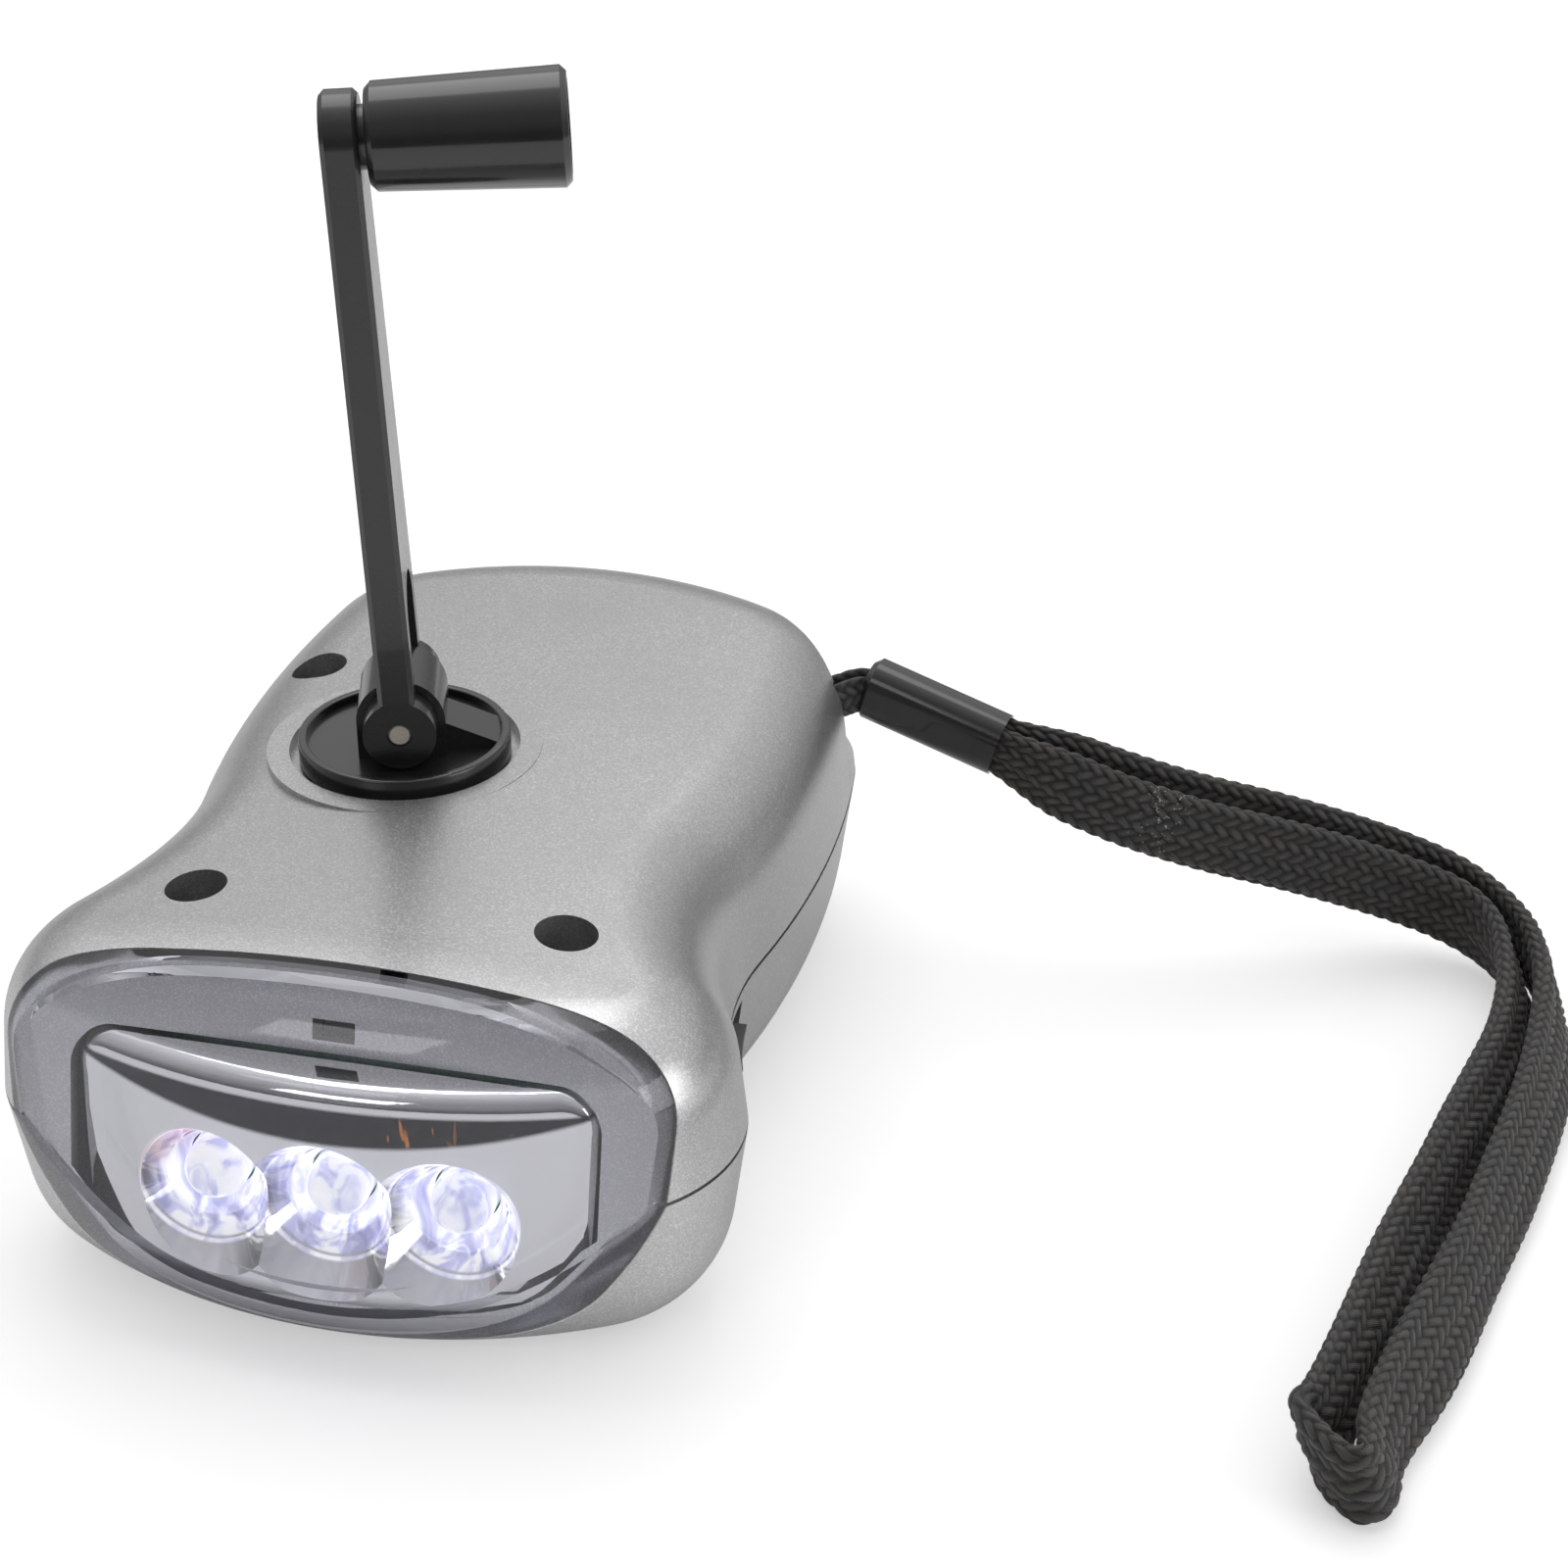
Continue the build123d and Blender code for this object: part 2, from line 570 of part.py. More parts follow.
with BuildPart() as crank_hub:
    with BuildSketch(Plane(origin=(hub_x, hub_y, 0), x_dir=(1, 0, 0), z_dir=(0, -1, 0))) as turned:
        with BuildLine():
            Polyline((0, spigot_low), (spigot_d / 2, spigot_low), (spigot_d / 2, drive_top),
                     (shaft_r, drive_top), (shaft_r, disc_z), (disc_d / 2, disc_z),
                     (disc_d / 2, rim_z), (disc_d / 2 - disc_rim, rim_z),
                     (disc_d / 2 - disc_rim, floor_z), (0, floor_z), close=True)
        make_face()
        fillet(turned.vertices().group_by(Axis.Y)[-1], disc_round)
    revolve(axis=Axis((hub_x, hub_y, 0), (0, 0, 1)))
    with BuildSketch(side_plane) as cheek:
        with Locations((0, (floor_z - pin_z) / 2)):
            Rectangle(2 * barrel_r, pin_z - floor_z)
        Circle(barrel_r)
    extrude(amount=barrel_length / 2, both=True)
    with BuildSketch(side_plane) as wedge:
        with BuildLine():
            Polyline((barrel_r - 1, floor_z - pin_z), (disc_d / 2 - disc_rim, floor_z - pin_z),
                     (disc_d / 2 - disc_rim, rim_z - pin_z - wedge_low), (barrel_r - 1, -wedge_high), close=True)
        make_face()
    extrude(amount=barrel_length / 3, both=True)
    with BuildSketch(side_plane):
        Circle(pin_d / 2 + running_gap / 2)
    extrude(amount=barrel_length, both=True, mode=Mode.SUBTRACT)
    with Locations((hub_x, hub_y, spigot_low)):
        Cylinder(hub_screw_d / 2 + thread_gap, disc_z - spigot_low,
                 align=(Align.CENTER, Align.CENTER, Align.MIN), mode=Mode.SUBTRACT)
save(crank_hub.part, "crank_hub")

with BuildPart() as fold_pin:
    with BuildSketch(side_plane):
        Circle(pin_d / 2)
    extrude(amount=pin_length / 2, both=True)
    chamfer(fold_pin.edges().filter_by(GeomType.CIRCLE), pin_chamfer)
save(fold_pin.part, "fold_pin")

lean = radians(arm_lean)
knob_way = pin_side.x_dir * cos(lean) + Vector(0, 0, sin(lean))
arm_plane = Plane(origin=pin_side.origin, x_dir=pin_side.y_dir, z_dir=knob_way)
eye_side = Plane(origin=pin_side.origin, x_dir=knob_way, z_dir=-pin_side.y_dir)
slot_width = barrel_length + 2 * slot_gap
knob_start = arm_thickness / 2 + knob_gap * 5
neck = knob_length - knob_dish_depth
knob_plane = Plane(origin=pin_side.origin + arm_plane.y_dir * arm_length,
                   x_dir=arm_plane.x_dir, z_dir=knob_way)

with BuildPart() as crank_arm:
    with BuildSketch(arm_plane):
        with BuildLine():
            Polyline((arm_tip_r, arm_length), (arm_root / 2, eye_r), (arm_root / 2, 0),
                     (-arm_root / 2, 0), (-arm_root / 2, eye_r), (-arm_tip_r, arm_length))
            RadiusArc((-arm_tip_r, arm_length), (arm_tip_r, arm_length), arm_tip_r)
        make_face()
    extrude(amount=arm_thickness / 2, both=True)
    chamfer(crank_arm.edges().filter_by(Axis((0, 0, 0), tuple(knob_way)), reverse=True)
            .filter_by_position(Axis(tuple(pin_side.origin), tuple(arm_plane.y_dir)),
                                slot_length, arm_length * 2), arm_chamfer)
    with BuildSketch(eye_side):
        Circle(eye_r)
    extrude(amount=arm_root / 2, both=True)
    with BuildSketch(knob_plane):
        Circle(axle_head_d / 2)
    extrude(amount=knob_start - knob_gap)
    with BuildSketch(arm_plane):
        with Locations((0, slot_length - slot_width / 2 - eye_r * 2)):
            Rectangle(slot_width, 4 * eye_r)
        with Locations((0, slot_length - slot_width / 2)):
            Circle(slot_width / 2)
    extrude(amount=2 * eye_r, both=True, mode=Mode.SUBTRACT)
    with BuildSketch(eye_side):
        Circle(pin_d / 2 + running_gap / 2)
    extrude(amount=arm_root, both=True, mode=Mode.SUBTRACT)
    with BuildSketch(knob_plane):
        Circle(axle_d / 2 + thread_gap)
    extrude(amount=knob_start, both=True, mode=Mode.SUBTRACT)
save(crank_arm.part, "crank_arm")

with BuildPart() as knob_axle:
    with BuildSketch(knob_plane.offset(-arm_thickness / 2)):
        Circle(axle_d / 2)
    extrude(amount=arm_thickness / 2 + knob_start + neck + knob_gap)
    with BuildSketch(knob_plane.offset(knob_start + neck + knob_gap)):
        Circle(axle_head_d / 2)
    extrude(amount=axle_head)
save(knob_axle.part, "knob_axle")

with BuildPart() as crank_knob:
    with BuildSketch(knob_plane.offset(knob_start)):
        Circle(knob_near_d / 2)
    with BuildSketch(knob_plane.offset(knob_start + knob_length)):
        Circle(knob_far_d / 2)
    loft(ruled=True)
    chamfer(crank_knob.edges().filter_by(GeomType.CIRCLE), knob_chamfer)
    with BuildSketch(knob_plane.offset(knob_start + neck)):
        Circle(knob_dish_d / 2)
    extrude(amount=knob_dish_depth, mode=Mode.SUBTRACT)
    with BuildSketch(knob_plane):
        Circle(axle_d / 2 + running_gap)
    extrude(amount=knob_length, mode=Mode.SUBTRACT)
save(crank_knob.part, "crank_knob")


# === gear train ===========================================================================

def involute(angle):
    """Involute function of an angle in radians."""
    return tan(angle) - angle


def gear_face(module, teeth, shift, backlash, plane, turn, bore):
    """One spur gear outline with involute flanks; a tooth is centred on the bearing turn."""
    pitch_r = module * teeth / 2
    base_r = pitch_r * cos(radians(pressure_angle))
    tip_r = pitch_r + module * (0.9 + shift if shift > 0 else 1.0 + shift)
    root_r = pitch_r - module * (1.25 - shift)
    thick = module * (pi / 2 + 2 * shift * tan(radians(pressure_angle))) - backlash / 2
    half_angle = thick / (2 * pitch_r) + involute(radians(pressure_angle))
    start_r = max(base_r, root_r)
    flank = [(root_r, half_angle)] if root_r < base_r - 0.01 else []
    for i in range(flank_steps + 1):
        r = start_r + (tip_r - start_r) * i / flank_steps
        flank.append((r, half_angle - involute(acos(min(1.0, base_r / r)))))
    points = []
    for tooth in range(teeth):
        centre = radians(turn) + 2 * pi * tooth / teeth
        points += [(r * cos(centre - a), r * sin(centre - a)) for r, a in flank]
        points += [(r * cos(centre + a), r * sin(centre + a)) for r, a in reversed(flank)]
    with BuildSketch(plane) as profile:
        with BuildLine():
            Polyline(*points, close=True)
        make_face()
        Circle(bore / 2, mode=Mode.SUBTRACT)
    return profile.sketch


def meshed(turn, direction, teeth, teeth_next):
    """Bearing of a tooth on the next gear when a tooth of this gear stands at turn."""
    return direction + 180 + (180 - teeth * (turn - direction)) / teeth_next


def level(at, height):
    """Level plane over a shaft."""
    return Plane(origin=(at[0], at[1], height), x_dir=(1, 0, 0), z_dir=(0, 0, 1))


turn_1 = meshed(0.0, idler_1_bearing, drive_teeth, pinion_teeth)
turn_2 = meshed(0.0, idler_2_bearing, wheel_teeth, pinion_teeth)
turn_3 = meshed(0.0, rotor_bearing, wheel_teeth, pinion_teeth)
bush_d = axle_pin_d + 2 * running_gap

with BuildPart() as drive_gear:
    add(gear_face(drive_module, drive_teeth, -profile_shift, drive_backlash,
                  level(hub_at, drive_z), 0.0, spigot_d + 2 * running_gap))
    extrude(amount=drive_width)
    for height, way in ((drive_z, 1), (drive_top, -1)):
        with BuildSketch(level(hub_at, height)):
            Circle(drive_r - web_rim)
            Circle(spigot_d / 2 + web_hub, mode=Mode.SUBTRACT)
        extrude(amount=way * drive_width / 4, mode=Mode.SUBTRACT)
save(drive_gear.part, "drive_gear")

with BuildPart() as hub_screw:
    with Locations((*hub_at, drive_z - hole_gap / 2)):
        Cylinder(spigot_d / 2 + hub_screw_rim, screw_head, align=(Align.CENTER, Align.CENTER, Align.MAX))
        Cylinder(hub_screw_d / 2, disc_z - drive_z - hole_gap,
                 align=(Align.CENTER, Align.CENTER, Align.MIN))
save(hub_screw.part, "hub_screw")

with BuildPart() as idler_gear_1:
    with Locations((*idler_1_at, plate_z + plate_thickness + hole_gap)):
        Cylinder(collar_1_r, wheel_1_z - plate_z - plate_thickness - hole_gap,
                 align=(Align.CENTER, Align.CENTER, Align.MIN))
    add(gear_face(train_module, wheel_teeth, -profile_shift, train_backlash,
                  level(idler_1_at, wheel_1_z), 0.0, bush_d))
    extrude(amount=wheel_width)
    add(gear_face(drive_module, pinion_teeth, profile_shift, drive_backlash,
                  level(idler_1_at, wheel_1_z + wheel_width), turn_1, bush_d))
    extrude(amount=gear_1_top - wheel_1_z - wheel_width)
    with Locations((*idler_1_at, 0)):
        Cylinder(bush_d / 2, 2 * body_height, mode=Mode.SUBTRACT)
save(idler_gear_1.part, "idler_gear_1")

with BuildPart() as idler_gear_2:
    with Locations((*idler_2_at, plate_z + plate_thickness + hole_gap)):
        Cylinder(collar_2_r, wheel_2_z - plate_z - plate_thickness - hole_gap,
                 align=(Align.CENTER, Align.CENTER, Align.MIN))
    add(gear_face(train_module, wheel_teeth, -profile_shift, train_backlash,
                  level(idler_2_at, wheel_2_z), 0.0, bush_d))
    extrude(amount=wheel_width)
    add(gear_face(train_module, pinion_teeth, profile_shift, train_backlash,
                  level(idler_2_at, wheel_2_z + wheel_width), turn_2, bush_d))
    extrude(amount=pinion_2_top - wheel_2_z - wheel_width)
    with Locations((*idler_2_at, 0)):
        Cylinder(bush_d / 2, 2 * body_height, mode=Mode.SUBTRACT)
save(idler_gear_2.part, "idler_gear_2")

for at, top, name in ((idler_1_at, roof_z - 2 * hole_gap, "idler_axle_1"),
                      (idler_2_at, roof_z - 2 * hole_gap, "idler_axle_2")):
    with BuildPart() as axle_pin:
        with Locations((*at, plate_z)):
            Cylinder(axle_pin_d / 2, top - plate_z, align=(Align.CENTER, Align.CENTER, Align.MIN))
    save(axle_pin.part, name)

with BuildPart() as gear_plate:
    with BuildSketch(Plane.XY.offset(plate_z)):
        with Locations(*plate_posts, idler_1_at):
            Circle(plate_edge_r)
        make_hull()
        with Locations(*plate_posts):
            Circle(screw_d / 2 + hole_gap / 2, mode=Mode.SUBTRACT)
        with Locations(idler_1_at, idler_2_at):
            Circle(axle_pin_d / 2 + thread_gap, mode=Mode.SUBTRACT)
        with Locations(rotor_at):
            Circle(axle_pin_d / 2 + running_gap, mode=Mode.SUBTRACT)
    extrude(amount=plate_thickness)
save(gear_plate.part, "gear_plate")


def screws(places, seat, head_d, head, low, name):
    """Pan-head screws of one kind, all in one piece list entry."""
    with BuildPart() as group:
        for x, y in places:
            with Locations((x, y, seat)):
                Cylinder(head_d / 2, head, align=(Align.CENTER, Align.CENTER, Align.MIN))
                Cylinder(screw_d / 2, seat - low, align=(Align.CENTER, Align.CENTER, Align.MAX))
    save(group.part, name)


screws(case_screws_at, recess_floor, screw_head_d, screw_head, screw_low, "case_screws")
screws(plate_posts, plate_z + plate_thickness, plate_head_d, plate_head, screw_low, "plate_screws")

# === generator ============================================================================

rotor_top = wheel_2_z + wheel_width + hole_gap
with BuildPart() as rotor_shaft:
    with Locations((*rotor_at, wall + hole_gap / 2)):
        Cylinder(axle_pin_d / 2, rotor_top - wall - hole_gap / 2,
                 align=(Align.CENTER, Align.CENTER, Align.MIN))
save(rotor_shaft.part, "rotor_shaft")

with BuildPart() as rotor_pinion:
    add(gear_face(train_module, pinion_teeth, profile_shift, train_backlash,
                  level(rotor_at, wheel_2_z - hole_gap), turn_3, axle_pin_d + 2 * thread_gap))
    extrude(amount=rotor_top - wheel_2_z + hole_gap)
save(rotor_pinion.part, "rotor_pinion")

magnet_height = stator_height - 2 * magnet_inset
with BuildPart() as rotor_magnet:
    with Locations((*rotor_at, stator_z + magnet_inset)):
        Cylinder(magnet_r, magnet_height, align=(Align.CENTER, Align.CENTER, Align.MIN))
        Cylinder(axle_pin_d / 2 + thread_gap, magnet_height,
                 align=(Align.CENTER, Align.CENTER, Align.MIN), mode=Mode.SUBTRACT)
save(rotor_magnet.part, "rotor_magnet")


def claw_ring(base, way, turn):
    """End plate with claws standing between those of the other cup."""
    reach = stator_height - 2 * cup_sheet - wall
    width = 2 * pi * claw_r / (2 * claw_count) * claw_fill
    with BuildPart() as ring:
        with BuildSketch(level(rotor_at, base)):
            Circle(stator_r)
            Circle(claw_r, mode=Mode.SUBTRACT)
        extrude(amount=way * cup_sheet)
        with BuildSketch(level(rotor_at, base)):
            with PolarLocations(claw_r + claw_sheet / 2, claw_count, start_angle=turn):
                Rectangle(claw_sheet, width)
        extrude(amount=way * reach)
    return ring.part


stator_top = stator_z + stator_height
with BuildPart() as stator_lower:
    add(claw_ring(stator_z, 1, 0))
    with BuildSketch(level(rotor_at, stator_z)):
        Circle(stator_r)
        Circle(stator_r - cup_sheet, mode=Mode.SUBTRACT)
    extrude(amount=stator_height - cup_sheet)
save(stator_lower.part, "stator_lower")

with BuildPart() as stator_upper:
    add(claw_ring(stator_top, -1, 180 / claw_count))
save(stator_upper.part, "stator_upper")

spool_low, spool_high = stator_z + cup_sheet, stator_top - cup_sheet
wind_low, wind_high, wind_r = spool_low + bobbin_flange, spool_high - bobbin_flange, bobbin_r + bobbin_wall
with BuildPart() as stator_bobbin:
    with BuildSketch(Plane(origin=(*rotor_at, 0), x_dir=(1, 0, 0), z_dir=(0, -1, 0))):
        with BuildLine():
            Polyline((bobbin_r, spool_low), (coil_r, spool_low), (coil_r, wind_low),
                     (wind_r, wind_low), (wind_r, wind_high), (coil_r, wind_high),
                     (coil_r, spool_high), (bobbin_r, spool_high), close=True)
        make_face()
    revolve(axis=Axis((*rotor_at, 0), (0, 0, 1)))
save(stator_bobbin.part, "stator_bobbin")

with BuildPart() as stator_coil:
    with BuildSketch(level(rotor_at, wind_low)):
        Circle(coil_r - coil_gap)
        Circle(wind_r, mode=Mode.SUBTRACT)
    extrude(amount=wind_high - wind_low)
save(stator_coil.part, "stator_coil")

# === power and switch =====================================================================

with BuildPart() as battery_cells:
    for i in range(cell_count):
        with BuildSketch(Plane(origin=(cell_x + i * cell_length, cell_y, cell_z + cell_d / 2),
                               x_dir=(0, 1, 0), z_dir=(1, 0, 0))):
            Circle(cell_d / 2)
        extrude(amount=cell_length - hole_gap)
save(battery_cells.part, "battery_cells")

with BuildPart() as battery_tabs:
    for x in (cell_x, cell_x + cell_count * cell_length - hole_gap + tab_sheet):
        with BuildSketch(Plane(origin=(x, cell_y, cell_z + cell_d / 2),
                               x_dir=(0, 1, 0), z_dir=(1, 0, 0))):
            with Locations((0, cell_d / 4)):
                Rectangle(tab_width, cell_d / 2 + tab_overhang)
        extrude(amount=-tab_sheet)
save(battery_tabs.part, "battery_tabs")

with BuildPart() as main_board:
    with BuildSketch(Plane.XY.offset(board_z)):
        with Locations(((board_left + board_right) / 2, (board_front + board_back) / 2)):
            RectangleRounded(board_right - board_left, board_back - board_front, board_corner)
    extrude(amount=board_thickness)
save(main_board.part, "main_board")

board_top = board_z + board_thickness
with BuildPart() as bridge_diodes:
    for i in (1, 2):
        with BuildSketch(Plane(origin=(board_left + diode_inset, board_back - i * diode_pitch,
                                       board_top + diode_d / 2), x_dir=(0, 1, 0), z_dir=(1, 0, 0))):
            Circle(diode_d / 2)
        extrude(amount=diode_length)
save(bridge_diodes.part, "bridge_diodes")

with BuildPart() as capacitor:
    with Locations((board_left + capacitor_inset, board_front + capacitor_inset, board_top)):
        Cylinder(capacitor_d / 2, capacitor_height, align=(Align.CENTER, Align.CENTER, Align.MIN))
    fillet(capacitor.edges().group_by(Axis.Z)[-1], capacitor_round)
save(capacitor.part, "capacitor")

lever_y = slider_y + slider_length / 2
lever_z = board_top + lever_lift
with BuildPart() as switch_body:
    with Locations((board_right, lever_y + slider_travel / 2, board_top)):
        Box(switch_depth, switch_length, switch_height, align=(Align.MAX, Align.CENTER, Align.MIN))
        Box(2 * lever_grip, lever_size + slider_travel + 1, 2 * switch_height - 1,
            align=(Align.MAX, Align.CENTER, Align.CENTER), mode=Mode.SUBTRACT)
save(switch_body.part, "switch_body")

with BuildPart() as button_form:
    with Locations((flange_x + flange_sheet, slider_y, slider_z)):
        Box(waist_r, slider_length, slider_height, align=(Align.MIN, Align.MIN, Align.MIN))
    add(form(-slider_proud), mode=Mode.INTERSECT)

with BuildPart() as switch_slider:
    add(button_form.part)
    for i in range(rib_slots):
        with Locations((waist_x + rib_inset, slider_y + slider_length * (i + 1) / (rib_slots + 1),
                        slider_z)):
            Box(waist_r, rib_slot, slider_height * 2, align=(Align.MIN, Align.CENTER, Align.CENTER),
                mode=Mode.SUBTRACT)
    with Locations((flange_x, slider_y - slider_travel - flange_margin, slider_z - flange_margin)):
        Box(flange_sheet, slider_length + 2 * (slider_travel + flange_margin),
            slider_height + 2 * flange_margin, align=(Align.MIN, Align.MIN, Align.MIN))
    with Locations((flange_x, lever_y, lever_z)):
        Box(flange_x - board_right + lever_grip, lever_size, lever_size,
            align=(Align.MAX, Align.CENTER, Align.CENTER))
save(switch_slider.part, "switch_slider")

# === wrist strap ==========================================================================

strap_way = Vector(*sleeve_end) - Vector(*sleeve_start)
sleeve_plane = Plane(origin=sleeve_start, x_dir=(strap_way.Y, -strap_way.X, 0), z_dir=strap_way)

with BuildPart() as strap_sleeve:
    with BuildSketch(sleeve_plane):
        RectangleRounded(sleeve_thickness, sleeve_height, sleeve_thickness / 2 - sleeve_flat)
    extrude(amount=strap_way.length)
    chamfer(strap_sleeve.edges().sort_by(Axis(sleeve_start, tuple(strap_way)))[:8], sleeve_wall)
    with BuildSketch(sleeve_plane):
        RectangleRounded(sleeve_thickness - 2 * sleeve_wall, sleeve_height - 2 * sleeve_wall,
                         sleeve_thickness / 2 - sleeve_wall - sleeve_flat)
    extrude(amount=strap_way.length, mode=Mode.SUBTRACT)
save(strap_sleeve.part, "strap_sleeve")

with BuildPart() as strap_tail:
    with Locations(anchor):
        Cylinder(anchor_r + anchor_gap + loop_wall, tail_height)
    with BuildSketch(tail_plane):
        Rectangle(tail_thickness, tail_height)
    extrude(amount=tail_dir.length - 1.5 * tail_knee)
    with BuildSketch(sleeve_plane.offset(-tail_knee)):
        Rectangle(tail_thickness, tail_height)
    extrude(amount=tail_knee + tail_grip)
    with Locations(anchor):
        Cylinder(anchor_r + anchor_gap, 3 * tail_height, mode=Mode.SUBTRACT)
save(strap_tail.part, "strap_tail")

# Route of the strap: x, y, z of the middle between its two strands, half their distance, and
# how far both lean to the left of upright. The strap lies as one loop, out and back.
strap_route = [
    (41.1, 29.8, 21.3, 1.25, 0), (48.9, 29.7, 18.3, 1.25, 0), (57.9, 31.4, 15.0, 1.25, 0),
    (67.3, 34.7, 11.9, 1.25, 0), (76.0, 37.4, 8.4, 1.25, 0), (83.0, 37.8, 5.9, 1.3, 3),
    (87.9, 34.0, 4.5, 1.35, 10), (90.2, 27.0, 3.95, 1.45, 20), (90.3, 18.5, 3.6, 1.8, 30),
    (88.9, 9.3, 3.5, 2.2, 38), (86.9, 0.0, 3.5, 2.5, 38), (84.9, -9.3, 3.5, 2.6, 38),
    (82.9, -18.6, 3.5, 2.5, 38), (80.9, -27.5, 3.55, 2.3, 36), (78.7, -36.0, 3.75, 2.0, 30),
]


def side_of(i):
    """Level direction square to the route at one of its points, to the left going out."""
    a = strap_route[max(i - 1, 0)]
    b = strap_route[min(i + 1, len(strap_route) - 1)]
    run = hypot(b[0] - a[0], b[1] - a[1])
    return -(b[1] - a[1]) / run, (b[0] - a[0]) / run


way_out, way_back = [], []
for i, (x, y, z, half_gap, tilt) in enumerate(strap_route):
    sx, sy = side_of(i)
    way_out.append((x + half_gap * sx, y + half_gap * sy, z))
    way_back.append((x - half_gap * sx, y - half_gap * sy, z))
strap_points = way_out + way_back[::-1]
strap_tilts = [p[4] for p in strap_route]
strap_tilts = strap_tilts + strap_tilts[::-1]


def corner_radii(points):
    """Largest gentle radius at each corner: 0.45 of the shorter run over tan of half the turn."""
    radii = []
    for p, q, r in zip(points, points[1:], points[2:]):
        u, v = Vector(*q) - Vector(*p), Vector(*r) - Vector(*q)
        turn = radians(u.get_angle(v))
        radii.append(0.45 * min(u.length, v.length) / tan(turn / 2))
    return radii


strap_radii = corner_radii(strap_points)
print("strap radii", [round(r, 1) for r in strap_radii])
with BuildLine() as strap_path:
    FilletPolyline(*strap_points, radius=strap_radii)
path = strap_path.wire()
print("strap length", round(path.length, 1))


def tilt_at(point):
    """Tilt of the strap at a point of its path, from the two nearest points of the route."""
    near = sorted((Vector(*p) - point).length for p in strap_points)[:2]
    order = sorted(range(len(strap_points)), key=lambda i: (Vector(*strap_points[i]) - point).length)
    a, b = order[0], order[1]
    share = near[0] / (near[0] + near[1])
    return strap_tilts[a] * (1 - share) + strap_tilts[b] * share


with BuildPart() as wrist_strap:
    stations = []
    for edge in path.edges():
        stations.append((edge @ 0, edge % 0))
        if edge.geom_type == GeomType.CIRCLE:
            stations.append((edge @ 0.5, edge % 0.5))
    stations.append((path @ 1, path % 1))
    for point, ahead_dir in stations:
        tilt = radians(tilt_at(point))
        rise = Vector(-sin(tilt), 0, cos(tilt))
        rise = rise - ahead_dir * rise.dot(ahead_dir)
        with BuildSketch(Plane(origin=point, x_dir=rise, z_dir=ahead_dir)):
            Rectangle(strap_width, strap_thickness)
    loft(ruled=True)
print("strap volume", round(wrist_strap.part.volume, 1),
      "section x length", round(strap_width * strap_thickness * path.length, 1))
print("strap lowest", round(wrist_strap.part.bounding_box().min.Z, 3))
save(wrist_strap.part, "wrist_strap")
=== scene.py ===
import math

import bpy
import numpy as np
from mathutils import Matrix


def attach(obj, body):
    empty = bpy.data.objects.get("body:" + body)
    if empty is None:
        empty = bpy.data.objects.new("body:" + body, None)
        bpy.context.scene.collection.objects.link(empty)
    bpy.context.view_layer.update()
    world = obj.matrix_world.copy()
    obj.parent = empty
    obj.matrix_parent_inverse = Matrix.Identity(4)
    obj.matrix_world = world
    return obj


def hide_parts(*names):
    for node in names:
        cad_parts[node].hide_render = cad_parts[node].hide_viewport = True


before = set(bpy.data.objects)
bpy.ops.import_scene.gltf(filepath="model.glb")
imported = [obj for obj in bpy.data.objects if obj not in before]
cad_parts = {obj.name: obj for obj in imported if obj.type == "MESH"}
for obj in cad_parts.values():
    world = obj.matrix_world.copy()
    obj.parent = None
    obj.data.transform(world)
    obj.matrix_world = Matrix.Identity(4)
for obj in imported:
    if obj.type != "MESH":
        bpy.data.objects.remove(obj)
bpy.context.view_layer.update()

# Hand crank flashlight. Metres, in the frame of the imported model: X right, Y back, Z up.
MM = 0.001


# === camera ===============================================================================

CAMERA_AT = (0.0790, -0.2197, 0.1600)
CAMERA_PITCH, CAMERA_TURN = 60.49, 13.346
SENSOR_WIDTH, FOCAL_LENGTH = 36.0, 72.0

camera_data = bpy.data.cameras.new("camera")
camera_data.sensor_width = SENSOR_WIDTH
camera_data.lens = FOCAL_LENGTH
camera = bpy.data.objects.new("camera", camera_data)
camera.location = CAMERA_AT
camera.rotation_euler = (math.radians(CAMERA_PITCH), 0.0, math.radians(CAMERA_TURN))
bpy.context.scene.collection.objects.link(camera)
bpy.context.scene.camera = camera
bpy.context.scene.view_settings.view_transform = "Standard"


# === material helpers =====================================================================

def shader(name, color, rough, metal=0.0, **more):
    """A new node material; more gives other sockets of its shader by name."""
    mat = bpy.data.materials.new(name)
    mat.use_nodes = True
    bsdf = mat.node_tree.nodes["Principled BSDF"]
    bsdf.inputs["Base Color"].default_value = (*color, 1.0)
    bsdf.inputs["Roughness"].default_value = rough
    bsdf.inputs["Metallic"].default_value = metal
    for socket, value in more.items():
        bsdf.inputs[socket.replace("_", " ")].default_value = value
    return mat


def node(mat, kind, inputs=None, **settings):
    """Adds a node to a material or world; inputs maps sockets to values or nodes' outputs."""
    made = mat.node_tree.nodes.new("ShaderNode" + kind)
    for key, value in settings.items():
        setattr(made, key, value)
    for key, value in (inputs or {}).items():
        if isinstance(value, bpy.types.NodeSocket):
            mat.node_tree.links.new(value, made.inputs[key])
        else:
            made.inputs[key].default_value = value
    return made


def principled(mat):
    """The shader that a new material comes with."""
    return mat.node_tree.nodes["Principled BSDF"]


def link(mat, output, socket):
    """Feeds an output into a socket of the material's shader."""
    mat.node_tree.links.new(output, principled(mat).inputs[socket])


def place(mat):
    """Object coordinates, which are metres in the part's own frame."""
    return node(mat, "TexCoord").outputs["Object"]


def axes(mat):
    """The object coordinates' X, Y and Z, by name."""
    return node(mat, "SeparateXYZ", {"Vector": place(mat)}).outputs


